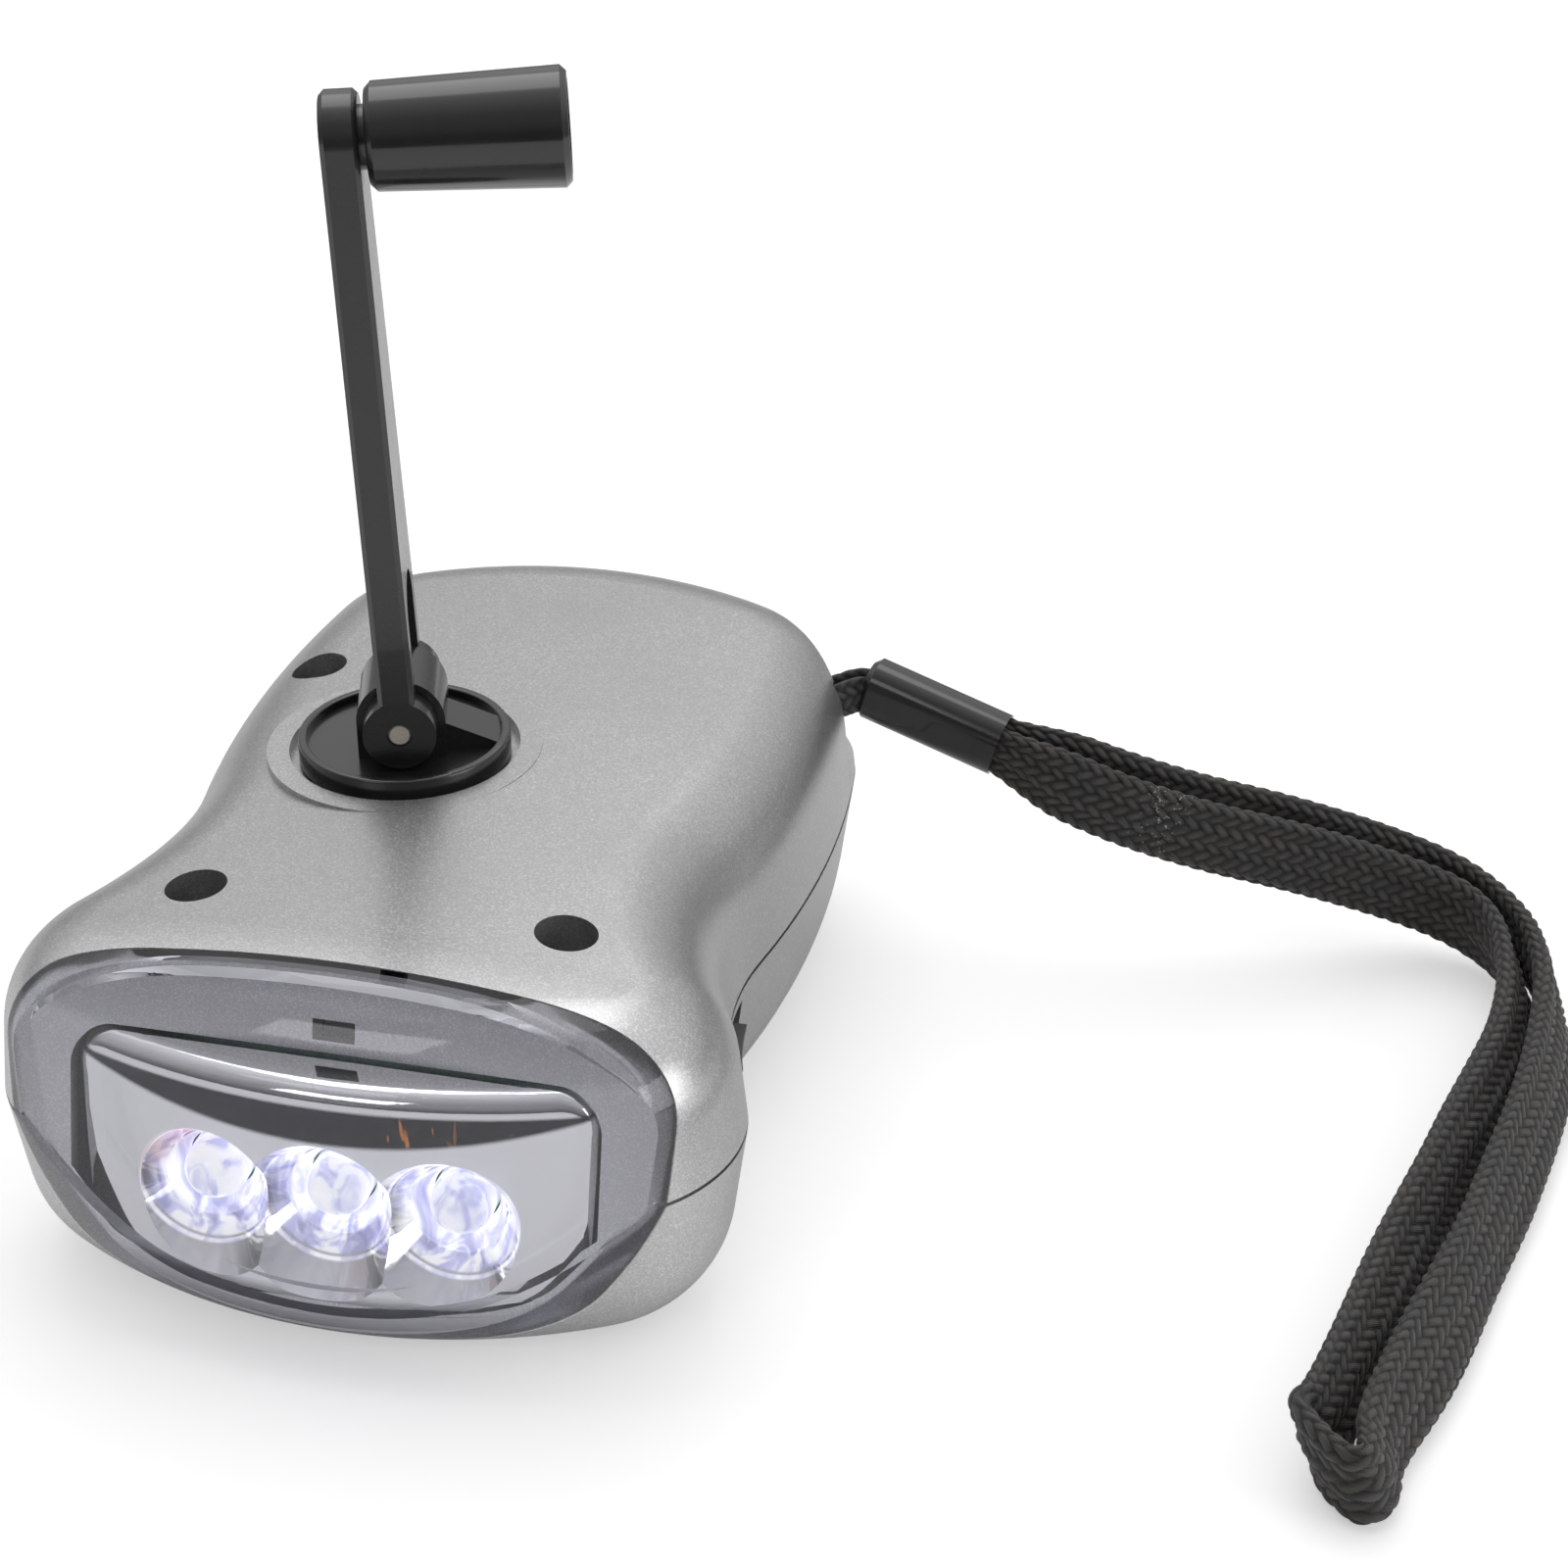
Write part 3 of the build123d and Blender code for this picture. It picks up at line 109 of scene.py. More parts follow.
def math_of(mat, operation, a, b=0.0, c=0.0):
    """One step of arithmetic, on numbers or outputs."""
    return node(mat, "Math", {0: a, 1: b, 2: c}, operation=operation).outputs[0]


def product(mat, first, *others):
    """Numbers or outputs multiplied with each other."""
    for other in others:
        first = math_of(mat, "MULTIPLY", first, other)
    return first


def scaled(mat, color, factor):
    """A colour made brighter or darker by a factor."""
    return node(mat, "VectorMath", {0: color, "Scale": factor}, operation="SCALE").outputs[0]


def ramp(mat, value, stops):
    """Colours along a value: stops are pairs of place and colour, in order."""
    made = node(mat, "ValToRGB", {"Fac": value})
    elements = made.color_ramp.elements
    for at, _ in stops[1:-1]:
        elements.new(at)
    for element, (at, color) in zip(elements, stops):
        element.position = at
        element.color = (*color, 1.0)
    return made.outputs["Color"]


def noise(mat, scale, detail=2.0, rough=0.5, vector=None, distortion=0.0):
    """Noise at a scale in cells per metre."""
    return node(mat, "TexNoise", {"Vector": vector or place(mat), "Scale": scale, "Detail": detail,
                                  "Roughness": rough, "Distortion": distortion})


def bump(mat, height, distance, strength):
    """A bump of a real depth, fed into the shader's normal."""
    made = node(mat, "Bump", {"Height": height, "Distance": distance, "Strength": strength})
    link(mat, made.outputs["Normal"], "Normal")


def fade(mat, value, zero_at, one_at):
    """Rises softly from 0 to 1 as the value goes from one limit to the other."""
    return node(mat, "MapRange", {"Value": value, "From Min": zero_at, "From Max": one_at},
                interpolation_type="SMOOTHSTEP").outputs["Result"]


def spread(mat, value, limits, results):
    """Goes evenly through the results as the value goes through its limits."""
    return node(mat, "MapRange", {"Value": value, "From Min": limits[0], "From Max": limits[1],
                                  "To Min": results[0], "To Max": results[1]}).outputs["Result"]


def mixed(mat, share, first, second):
    """The first colour, with a share of the second one over it."""
    return node(mat, "MixRGB", {"Fac": share, "Color1": first, "Color2": second}).outputs["Color"]


def spread_rough(mat, value, low, high):
    """Roughness that follows a value between two limits."""
    link(mat, spread(mat, value, (0.0, 1.0), (low, high)), "Roughness")


def dress(mat, *names):
    """Gives CAD nodes a material in place of their own."""
    for name in names:
        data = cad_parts[name].data
        data.materials.clear()
        data.materials.append(mat)


# === materials ============================================================================

FLAKES_PER_METRE = 9000.0
# Painted light: where along Y the paint's colour starts to be painted brighter towards the lens
# end, where that is full, and how much brighter it is there.
PAINTED_LIGHT_ENDS, PAINTED_LIGHT_FULL, PAINTED_LIGHT_GAIN = -29.0 * MM, -36.0 * MM, 1.42


def silver_paint():
    """Satin metallic silver: fine flakes that catch the light one by one, and soft clouds, painted
    brighter towards the lens end as painted light.
    """
    mat = shader("silver_abs", (0.56, 0.56, 0.55), 0.34, 0.88, Coat_Weight=0.12,
                 Coat_Roughness=0.3)
    flakes = node(mat, "TexVoronoi", {"Vector": place(mat), "Scale": FLAKES_PER_METRE})
    glint = node(mat, "SeparateColor", {"Color": flakes.outputs["Color"]}).outputs["Red"]
    clouds = noise(mat, 90.0, detail=3.0).outputs["Fac"]
    tone = math_of(mat, "MULTIPLY_ADD", glint, 0.75, product(mat, clouds, 0.25))
    paint = ramp(mat, tone, [(0.10, (0.455, 0.457, 0.458)), (0.60, (0.52, 0.522, 0.523)),
                             (0.97, (0.70, 0.70, 0.70))])
    # Painted light: the paint's colour is scaled brighter towards the lens end.
    painted_front_light = spread(mat, axes(mat)["Y"], (PAINTED_LIGHT_ENDS, PAINTED_LIGHT_FULL), (1.0, PAINTED_LIGHT_GAIN))
    link(mat, scaled(mat, paint, painted_front_light), "Base Color")
    spread_rough(mat, glint, 0.30, 0.40)
    grain = noise(mat, 11000.0, detail=1.0).outputs["Fac"]
    bump(mat, math_of(mat, "ADD", product(mat, glint, 0.7), grain), 5e-6, 0.28)
    return mat


def clear_acrylic():
    """Clear lens with a faint violet cast where the light's way through it is long."""
    mat = shader("clear_lens", (0.985, 0.985, 1.0), 0.015, 0.0, IOR=1.49, Transmission_Weight=1.0)
    scuffs = noise(mat, 2600.0, detail=4.0, rough=0.7).outputs["Fac"]
    spread_rough(mat, math_of(mat, "POWER", scuffs, 6.0), 0.01, 0.12)
    violet, per_metre = (0.50, 0.53, 0.96, 1.0), 40.0
    depth = node(mat, "VolumeAbsorption", {"Color": violet, "Density": per_metre})
    out = mat.node_tree.nodes["Material Output"]
    mat.node_tree.links.new(depth.outputs[0], out.inputs["Volume"])
    return mat


# Reflector: pitch and height of its three cups, radius of their mouths, and the plate's top
# edge and half width.
LED_PITCH, LED_Z, CUP_R = 10.0 * MM, 13.0 * MM, 5.15 * MM
PLATE_TOP, PLATE_HALF = 22.5 * MM, 20.0 * MM
# Radii of the painted light in a cup, where it starts and is full, and of the painted highlight
# line round it.
GLOW_EDGE, GLOW_START, GLOW_FULL = CUP_R, CUP_R * 0.97, CUP_R * 0.45
RIM_FULL, RIM_FADES, RIM_ENDS = CUP_R * 1.02, CUP_R * 1.035, CUP_R * 1.065
# How far from a cup's axis the painted light gets dim on the walls between neighbouring cups, and
# how dim.
WALL_STARTS, WALL_FULL, WALL_LIGHT = 4.2 * MM, 4.9 * MM, 0.35
# How far up and left of the left cup's axis its painted warm reflection starts and is full.
WARM_STARTS, WARM_FULL = 1.6 * MM, 4.6 * MM
# The painted dark reflection under the top edge: its height in the middle, how much lower it is at
# the ends, and the X limits of the warm streaks in it.
BAND_HEIGHT, BAND_FALL = 3.1 * MM, 2.5 * MM
WARM_STREAK_LEFT, WARM_STREAK_RIGHT, WARM_STREAK_FADE = 2.0 * MM, 12.0 * MM, 3.0 * MM
STREAK_LEAN, STREAK_SHAPE = 40.0, (1.0, 1.0, 0.22)


def streaks(mat, scale, lean):
    """Noise drawn out along one slanted direction of the XZ plane."""
    turned = node(mat, "Mapping", {"Vector": place(mat), "Scale": STREAK_SHAPE,
                                   "Rotation": (0.0, math.radians(lean), 0.0)})
    return noise(mat, scale, detail=2.5, rough=0.55, vector=turned.outputs["Vector"],
                 distortion=0.9).outputs["Fac"]


def painted_cup_light(mat, x, up, nearest, radius, inside):
    """Painted light, as emission on the chrome, for the light that the cups gather: streaky, a
    painted warm reflection at the left, dimmer between them, with a painted highlight rim.
    """
    glow = ramp(mat, streaks(mat, 520.0, STREAK_LEAN),
                [(0.36, (0.30, 0.30, 0.52)), (0.48, (0.55, 0.55, 0.84)), (0.58, (1.0, 1.0, 1.0))])
    # Painted reflection: the left cup's painted light turns warm at its upper left rim.
    slant = math_of(mat, "SUBTRACT", product(mat, up, 0.80),
                    product(mat, math_of(mat, "ADD", x, LED_PITCH), 0.60))
    warm_reflection = product(mat, fade(mat, slant, WARM_STARTS, WARM_FULL),
                   math_of(mat, "LESS_THAN", x, -0.5 * LED_PITCH))
    link(mat, mixed(mat, warm_reflection, glow, (0.30, 0.13, 0.11, 1.0)), "Emission Color")
    deep = spread(mat, radius, (GLOW_EDGE, GLOW_FULL), (0.66, 1.0))
    # Painted shade: the painted light stays dimmer on the narrow walls between neighbouring cups.
    wall_dimming = spread(mat, nearest, (WALL_FULL, WALL_STARTS), (WALL_LIGHT, 1.0))
    rim_highlight = product(mat, fade(mat, radius, GLOW_EDGE, RIM_FULL),
                  fade(mat, radius, RIM_ENDS, RIM_FADES))
    strength = math_of(mat, "MULTIPLY_ADD", inside, product(mat, deep, wall_dimming),
                       product(mat, rim_highlight, 0.5))
    link(mat, strength, "Emission Strength")


def painted_dark_band(mat, x, z):
    """Share and colour of a painted reflection: the lens's dark inside, mirrored under the plate's
    rolled top edge, with bright flecks and warm streaks in it.
    """
    # Painted reflection: a dark band is painted into the colour under the plate's top edge.
    below = math_of(mat, "SUBTRACT", PLATE_TOP, z)
    share = math_of(mat, "DIVIDE", x, PLATE_HALF)
    thick = math_of(mat, "MULTIPLY_ADD", product(mat, share, share), -BAND_FALL, BAND_HEIGHT)
    over = math_of(mat, "SUBTRACT", below, thick)
    band = product(mat, fade(mat, below, 0.0, 0.35 * MM), fade(mat, over, 0.30 * MM, -0.20 * MM))
    flecks = noise(mat, 3200.0, detail=5.0, rough=0.8).outputs["Fac"]
    dark = ramp(mat, flecks, [(0.40, (0.022, 0.022, 0.025)), (0.62, (0.050, 0.050, 0.055)),
                              (0.74, (0.45, 0.45, 0.46))])
    reach = product(mat, fade(mat, x, WARM_STREAK_LEFT, WARM_STREAK_LEFT + WARM_STREAK_FADE),
                    fade(mat, x, WARM_STREAK_RIGHT, WARM_STREAK_RIGHT - WARM_STREAK_FADE))
    warm_streaks = product(mat, fade(mat, streaks(mat, 900.0, -30.0), 0.58, 0.66), reach)
    return band, mixed(mat, warm_streaks, dark, (0.55, 0.22, 0.08, 1.0))


def chrome():
    """Vacuum-metallised reflector; the three cups carry painted light, emission for the light that
    they gather, and a painted dark reflection runs under the top edge.
    """
    mat = shader("chrome_reflector", (0.86, 0.86, 0.85), 0.07, 1.0)
    here = axes(mat)
    column = math_of(mat, "ABSOLUTE", here["X"])
    side = math_of(mat, "ABSOLUTE", math_of(mat, "SUBTRACT", column, LED_PITCH))
    nearest = math_of(mat, "MINIMUM", column, side)
    up = math_of(mat, "SUBTRACT", here["Z"], LED_Z)
    radius = math_of(mat, "SQRT", math_of(mat, "ADD", product(mat, nearest, nearest),
                                          product(mat, up, up)))
    inside = fade(mat, radius, GLOW_EDGE, GLOW_START)
    painted_cup_light(mat, here["X"], up, nearest, radius, inside)
    band, dark = painted_dark_band(mat, here["X"], here["Z"])
    # Painted shade: under the painted light the chrome's colour is darker and bluer inside the
    # cups.
    plain = mixed(mat, inside, (0.84, 0.84, 0.83, 1.0), (0.36, 0.36, 0.40, 1.0))
    link(mat, mixed(mat, band, plain, dark), "Base Color")
    dust = noise(mat, 3500.0, detail=5.0, rough=0.75).outputs["Fac"]
    spread_rough(mat, math_of(mat, "POWER", dust, 5.0), 0.05, 0.30)
    bump(mat, noise(mat, 160.0, detail=2.0).outputs["Fac"], 3e-5, 0.25)
    return mat


def lit_led():
    """Clear epoxy body of a lit white diode, bright with the streaks of its lens."""
    mat = shader("led_epoxy", (0.35, 0.36, 0.42), 0.08, 0.0, IOR=1.5, Coat_Weight=0.6,
                 Emission_Strength=0.80)
    glow = streaks(mat, 620.0, STREAK_LEAN)
    link(mat, ramp(mat, glow, [(0.34, (0.50, 0.51, 0.80)), (0.50, (0.92, 0.93, 1.0)),
                               (0.60, (1.0, 1.0, 1.0))]), "Emission Color")
    spread_rough(mat, glow, 0.05, 0.2)
    return mat


def black_plastic(name, rough, grain_depth):
    """Black moulded plastic with a soft sheen, faint flow clouds and a little dust."""
    mat = shader(name, (0.014, 0.014, 0.015), rough, 0.0, Specular_IOR_Level=0.75,
                 Coat_Weight=0.45, Coat_Roughness=0.05)
    clouds = noise(mat, 240.0, detail=4.0, rough=0.6).outputs["Fac"]
    dust = noise(mat, 5200.0, detail=3.0, rough=0.8).outputs["Fac"]
    specks = math_of(mat, "POWER", dust, 9.0)
    tone = math_of(mat, "MULTIPLY_ADD", specks, 3.0, product(mat, clouds, 0.25))
    link(mat, ramp(mat, tone, [(0.0, (0.011, 0.011, 0.011)), (0.25, (0.019, 0.019, 0.019)),
                               (1.0, (0.16, 0.16, 0.155))]), "Base Color")
    spread_rough(mat, clouds, rough - 0.06, rough + 0.10)
    bump(mat, noise(mat, 2400.0, detail=3.0).outputs["Fac"], grain_depth, 0.4)
    return mat


def steel(name, color, rough, along=(1.0, 1.0, 12.0), metal=1.0):
    """Turned or rolled steel with fine drawing marks across one axis."""
    mat = shader(name, color, rough, metal)
    stretch = node(mat, "Mapping", {"Vector": place(mat), "Scale": along})
    marks = noise(mat, 1500.0, detail=3.0, rough=0.6,
                  vector=stretch.outputs["Vector"]).outputs["Fac"]
    spread_rough(mat, marks, rough - 0.08, rough + 0.14)
    dark = tuple(0.7 * c for c in color)
    link(mat, ramp(mat, marks, [(0.3, dark), (0.65, color)]), "Base Color")
    bump(mat, marks, 4e-6, 0.5)
    return mat


def nylon():
    """Milky moulded gear plastic."""
    mat = shader("nylon_gear", (0.78, 0.77, 0.72), 0.42, 0.0, Subsurface_Weight=0.1)
    clouds = noise(mat, 600.0, detail=4.0).outputs["Fac"]
    link(mat, ramp(mat, clouds, [(0.3, (0.70, 0.69, 0.64)), (0.7, (0.82, 0.81, 0.77))]),
         "Base Color")
    bump(mat, noise(mat, 4000.0, detail=2.0).outputs["Fac"], 5e-6, 0.4)
    return mat


def circuit_board():
    """Green solder mask over copper runs, with a woven base under it."""
    mat = shader("circuit_board", (0.02, 0.16, 0.07), 0.35, 0.0, Coat_Weight=0.3)
    runs = node(mat, "TexBrick", {"Vector": place(mat), "Scale": 420.0, "Mortar Size": 0.08,
                                  "Color1": (0.015, 0.13, 0.055, 1.0),
                                  "Color2": (0.02, 0.16, 0.07, 1.0),
                                  "Mortar": (0.05, 0.27, 0.12, 1.0)})
    link(mat, runs.outputs["Color"], "Base Color")
    bump(mat, runs.outputs["Fac"], 2e-5, 0.5)
    return mat


def copper_winding():
    """Enamelled copper wire, wound in close turns."""
    mat = shader("copper_winding", (0.72, 0.30, 0.12), 0.3, 0.9, Coat_Weight=0.5)
    turns = node(mat, "TexWave", {"Vector": place(mat), "Scale": 1300.0, "Distortion": 0.6},
                 bands_direction="Z").outputs["Fac"]
    link(mat, ramp(mat, turns, [(0.1, (0.28, 0.09, 0.03)), (0.6, (0.78, 0.34, 0.14))]),
         "Base Color")
    bump(mat, turns, 6e-5, 0.8)
    return mat


def ferrite():
    """Sintered ring magnet, dark and slightly grainy."""
    mat = shader("ferrite", (0.045, 0.045, 0.05), 0.55, 0.3)
    grit = noise(mat, 3000.0, detail=5.0, rough=0.7).outputs["Fac"]
    link(mat, ramp(mat, grit, [(0.3, (0.03, 0.03, 0.034)), (0.75, (0.09, 0.09, 0.095))]),
         "Base Color")
    bump(mat, grit, 2e-5, 0.6)
    return mat


def wrapped(name, color, band):
    """Sleeved electronic part: a coloured wrap with a plain band and fine creases."""
    mat = shader(name, color, 0.38, 0.0, Coat_Weight=0.25)
    creases = noise(mat, 1400.0, detail=3.0, distortion=1.0).outputs["Fac"]
    link(mat, ramp(mat, creases, [(0.40, color), (0.62, band)]), "Base Color")
    bump(mat, creases, 1e-5, 0.5)
    return mat


# The strap's two patches near the sleeve where single fibres shine, painted pale grey as painted
# highlights.
GLINT_SPOTS = ((56.0 * MM, 29.0 * MM, 18.5 * MM), (55.0 * MM, 29.0 * MM, 14.6 * MM))
GLINT_ENDS, GLINT_FULL = 3.4 * MM, 1.2 * MM
THREADS = 34.0


def braid_yarn():
    """Charcoal polyester braid: sheen along the yarns, painted shade in the gaps between them,
    painted glints near the sleeve, faint brown and blue tints.
    """
    mat = shader("braid_yarn", (0.045, 0.042, 0.040), 0.55, 0.0, Sheen_Weight=0.25,
                 Sheen_Roughness=0.4, Specular_IOR_Level=0.55)
    lift = node(mat, "Attribute", attribute_name="lift").outputs["Fac"]
    yarn = node(mat, "Attribute", attribute_name="yarn").outputs["Fac"]
    fibre = node(mat, "Attribute", attribute_name="across").outputs["Fac"]
    tint = noise(mat, 260.0, detail=2.0).outputs["Fac"]
    hue = ramp(mat, tint, [(0.35, (0.060, 0.060, 0.061)), (0.52, (0.066, 0.062, 0.055)),
                           (0.70, (0.078, 0.064, 0.052))])
    shade = math_of(mat, "MULTIPLY_ADD", yarn, 0.55, 0.72)
    # Painted shade: the colour darkens where the yarns dip into the gaps between them.
    depth = math_of(mat, "MULTIPLY_ADD", math_of(mat, "POWER", lift, 2.0), 0.96, 0.04)
    fuzz = noise(mat, 9000.0, detail=2.0, rough=0.7).outputs["Fac"]
    tone = product(mat, shade, depth, math_of(mat, "MULTIPLY_ADD", fuzz, 0.6, 0.7))
    here = place(mat)
    # Painted highlight: single fibres in two patches near the sleeve get a pale grey colour.
    glint_patches = 0.0
    for spot in GLINT_SPOTS:
        apart = node(mat, "VectorMath", {0: here, 1: spot}, operation="DISTANCE").outputs["Value"]
        glint_patches = math_of(mat, "ADD", glint_patches, fade(mat, apart, GLINT_ENDS, GLINT_FULL))
    single = fade(mat, noise(mat, 3000.0, detail=2.0).outputs["Fac"], 0.60, 0.72)
    link(mat, mixed(mat, product(mat, glint_patches, single), scaled(mat, hue, tone),
                    (0.40, 0.41, 0.42, 1.0)), "Base Color")
    spread_rough(mat, yarn, 0.42, 0.68)
    threads = math_of(mat, "SINE", product(mat, fibre, THREADS))
    bump(mat, math_of(mat, "MULTIPLY_ADD", fuzz, 0.8, threads), 1.6e-5, 0.6)
    return mat


SILVER = silver_paint()
BLACK = black_plastic("black_crank", 0.24, 8e-6)
KNOB = black_plastic("black_knob", 0.15, 5e-6)
SLEEVE = black_plastic("black_sleeve", 0.16, 5e-6)
SWITCH = black_plastic("black_switch", 0.34, 1.2e-5)
STEEL = steel("bright_steel", (0.62, 0.61, 0.60), 0.28)
SHEET = steel("sheet_steel", (0.55, 0.55, 0.56), 0.36, (1.0, 9.0, 1.0))
PIN = steel("nickel_pin", (0.74, 0.69, 0.60), 0.42, metal=0.45)
YARN = braid_yarn()

dress(SILVER, "shell_top", "shell_bottom")
dress(clear_acrylic(), "lens")
dress(chrome(), "reflector")
dress(lit_led(), "led_left", "led_middle", "led_right")
dress(BLACK, "crank_hub", "crank_arm")
dress(KNOB, "crank_knob")
dress(SLEEVE, "strap_sleeve")
dress(SWITCH, "switch_slider")
dress(PIN, "fold_pin")
dress(STEEL, "knob_axle", "hub_screw", "idler_axle_1", "idler_axle_2", "case_screws",
      "plate_screws", "rotor_shaft")
dress(SHEET, "gear_plate", "stator_lower", "stator_upper", "battery_tabs")
dress(circuit_board(), "led_board", "main_board")
dress(nylon(), "drive_gear", "idler_gear_1", "idler_gear_2", "rotor_pinion", "stator_bobbin")
dress(copper_winding(), "stator_coil")
dress(ferrite(), "rotor_magnet")
dress(wrapped("diode_body", (0.02, 0.02, 0.022), (0.05, 0.05, 0.052)), "bridge_diodes")
dress(wrapped("capacitor_sleeve", (0.02, 0.03, 0.10), (0.04, 0.06, 0.16)), "capacitor")
dress(wrapped("switch_housing", (0.03, 0.03, 0.03), (0.07, 0.07, 0.07)), "switch_body")
dress(steel("cell_steel", (0.66, 0.66, 0.64), 0.3, (10.0, 1.0, 1.0)), "battery_cells")


# === strap ================================================================================

# The strap's route, metres: x, y, z of the middle between its two strands, half their distance,
# and how far both lean to the left of upright, in degrees.
STRAP_ROUTE = [
    (0.0390, 0.0301, 0.02193, 0.00080, 0), (0.0411, 0.0298, 0.0213, 0.00095, 0),
    (0.0489, 0.0297, 0.0183, 0.00125, 0), (0.0579, 0.0314, 0.0150, 0.00125, 0),
    (0.0673, 0.0347, 0.0119, 0.00125, 0), (0.0760, 0.0374, 0.0084, 0.00125, 0),
    (0.0830, 0.0378, 0.0059, 0.0013, 3), (0.0879, 0.0340, 0.0045, 0.00135, 10),
    (0.0902, 0.0270, 0.00395, 0.00145, 20), (0.0903, 0.0185, 0.0036, 0.0018, 30),
    (0.0889, 0.0093, 0.0035, 0.0022, 38), (0.0869, 0.0000, 0.0035, 0.0025, 38),
    (0.0849, -0.0093, 0.0035, 0.0026, 38), (0.0829, -0.0186, 0.0035, 0.0025, 38),
    (0.0809, -0.0275, 0.00355, 0.0023, 36), (0.0787, -0.0360, 0.00375, 0.0020, 30),
]
# How much higher than the route its rear strand hangs, and how much lower the front one,
# at each of its points from the sleeve on; further on both lie on the floor.
REAR_LIFT = [0.0, 0.0002, 0.0006, 0.0008, 0.0008, 0.0008, 0.0004]
FRONT_DROP = [0.0, 0.0002, 0.0005, 0.0006, 0.0006, 0.0004, 0.0001]
# The tight fold at the far end, from the right strand to the left one: x, y, z, tilt.
FOLD = [(0.0811, -0.0403, 0.0039, 26), (0.0797, -0.0424, 0.0039, 16),
        (0.0772, -0.0404, 0.0039, 14), (0.0754, -0.0370, 0.0039, 24)]
STRAP_WIDTH, STRAP_THICKNESS = 0.0070, 0.0019
# Round each braid, and along it: points per column of yarns, and rings per row of them.
POINTS_PER_COLUMN, RINGS_PER_ROW = 7, 8
# Slow waves along each braid, as phase and pairs of wavelength and size: its lean, and the
# drift of its lengthwise ribs, with the number of ribs across and how far they drift.
LEAN_WAVES, RIB_WAVES = (1.3, (0.023, 0.05), (0.041, 0.06)), (0.4, (0.031, 1.0))
RIB_COUNT, RIB_DRIFT = 2.5, 0.35
# How far the yarns of the strap's faces stand proud of its plain thickness.
YARN_PROUD = 0.15 * MM
# The sleeve's pinch: how far along the strap it is felt, and the width and thickness in it.
PINCH_REACH, PINCH_WIDTH, PINCH_THICKNESS = 0.009, 0.66, 0.80


def side_of(i):
    """Level direction square to the route at one of its points, to the left going out."""
    a = STRAP_ROUTE[max(i - 1, 0)]
    b = STRAP_ROUTE[min(i + 1, len(STRAP_ROUTE) - 1)]
    run = math.hypot(b[0] - a[0], b[1] - a[1])
    return -(b[1] - a[1]) / run, (b[0] - a[0]) / run


def strap_points():
    """The route as one line, out along one strand and back along the other, with its tilts."""
    out, back = [], []
    for i, (x, y, z, half_gap, tilt) in enumerate(STRAP_ROUTE):
        sx, sy = side_of(i)
        lift = REAR_LIFT[i] if i < len(REAR_LIFT) else 0.0
        drop = FRONT_DROP[i] if i < len(FRONT_DROP) else 0.0
        out.append((x + half_gap * sx, y + half_gap * sy, z + lift, tilt))
        back.append((x - half_gap * sx, y - half_gap * sy, z - drop, tilt))
    return out + FOLD + back[::-1]


def spline_line(points, name):
    """Points along a smooth spline that has the given points as its control points."""
    curve = bpy.data.curves.new(name, "CURVE")
    curve.dimensions = "3D"
    curve.resolution_u = 24
    spline = curve.splines.new("NURBS")
    spline.points.add(len(points) - 1)
    for point, at in zip(spline.points, points):
        point.co = (*at, 1.0)
    spline.order_u = 3
    spline.use_endpoint_u = True
    holder = bpy.data.objects.new(name, curve)
    mesh = bpy.data.meshes.new_from_object(holder)
    line = np.array([v.co[:] for v in mesh.vertices])
    bpy.data.meshes.remove(mesh)
    bpy.data.curves.remove(curve)
    return line


def even(line, extra, step):
    """The line and the values along it again, at even steps."""
    runs = np.linalg.norm(np.diff(line, axis=0), axis=1)
    along = np.concatenate([[0.0], np.cumsum(runs)])
    count = int(round(along[-1] / step))
    at = np.linspace(0.0, along[-1], count + 1)
    spots = np.stack([np.interp(at, along, line[:, k]) for k in range(3)], axis=1)
    return spots, np.interp(at, along, extra), at


def unit(v):
    """Vectors drawn to length 1."""
    return v / np.linalg.norm(v, axis=-1, keepdims=True)


def flat_oval(half_width, half_thick, count, power=3.2, samples=4000):
    """Even points round a flat oval, with their outward directions."""
    t = np.linspace(0.0, 2.0 * np.pi, samples, endpoint=False)
    x = half_width * np.sign(np.cos(t)) * np.abs(np.cos(t)) ** (2.0 / power)
    y = half_thick * np.sign(np.sin(t)) * np.abs(np.sin(t)) ** (2.0 / power)
    ring = np.stack([x, y], axis=1)
    runs = np.linalg.norm(np.roll(ring, -1, axis=0) - ring, axis=1)
    along = np.concatenate([[0.0], np.cumsum(runs)])
    at = np.linspace(0.0, along[-1], count, endpoint=False)
    closed = np.vstack([ring, ring[:1]])
    even_ring = np.stack([np.interp(at, along, closed[:, k]) for k in range(2)], axis=1)
    tangent = unit(np.roll(even_ring, -1, axis=0) - np.roll(even_ring, 1, axis=0))
    return even_ring, np.stack([tangent[:, 1], -tangent[:, 0]], axis=1)


def braid(u, v):
    """Relief of a two-over-two braid at column u and row v: height, yarn number, place across."""
    a, b = u + v, v - u
    i, j = np.floor(a), np.floor(b)
    fa, fb = a - i, b - j
    turn = np.mod(i - j, 4.0)
    first = turn < 2.0
    across = np.where(first, fa, fb)
    along = np.where(first, (turn + 1.0 - fb) / 2.0, (turn - 2.0 + fa) / 2.0)
    body = np.sqrt(np.clip(1.0 - (2.0 * across - 1.0) ** 2, 0.0, 1.0))
    dive = np.clip(4.0 * along * (1.0 - along), 0.0, 1.0) ** 0.4
    # Steps that give neighbouring yarns unlike numbers.
    number = np.where(first, i * 0.618, j * 0.755 + 0.31)
    return body * dive, np.mod(number * 7.0, 1.0), across


def wander(at, phase, *waves):
    """Sum of slow waves along the strap: pairs of wavelength and size."""
    return sum(size * np.sin(2.0 * np.pi * at / length + phase * (k + 1))
               for k, (length, size) in enumerate(waves))


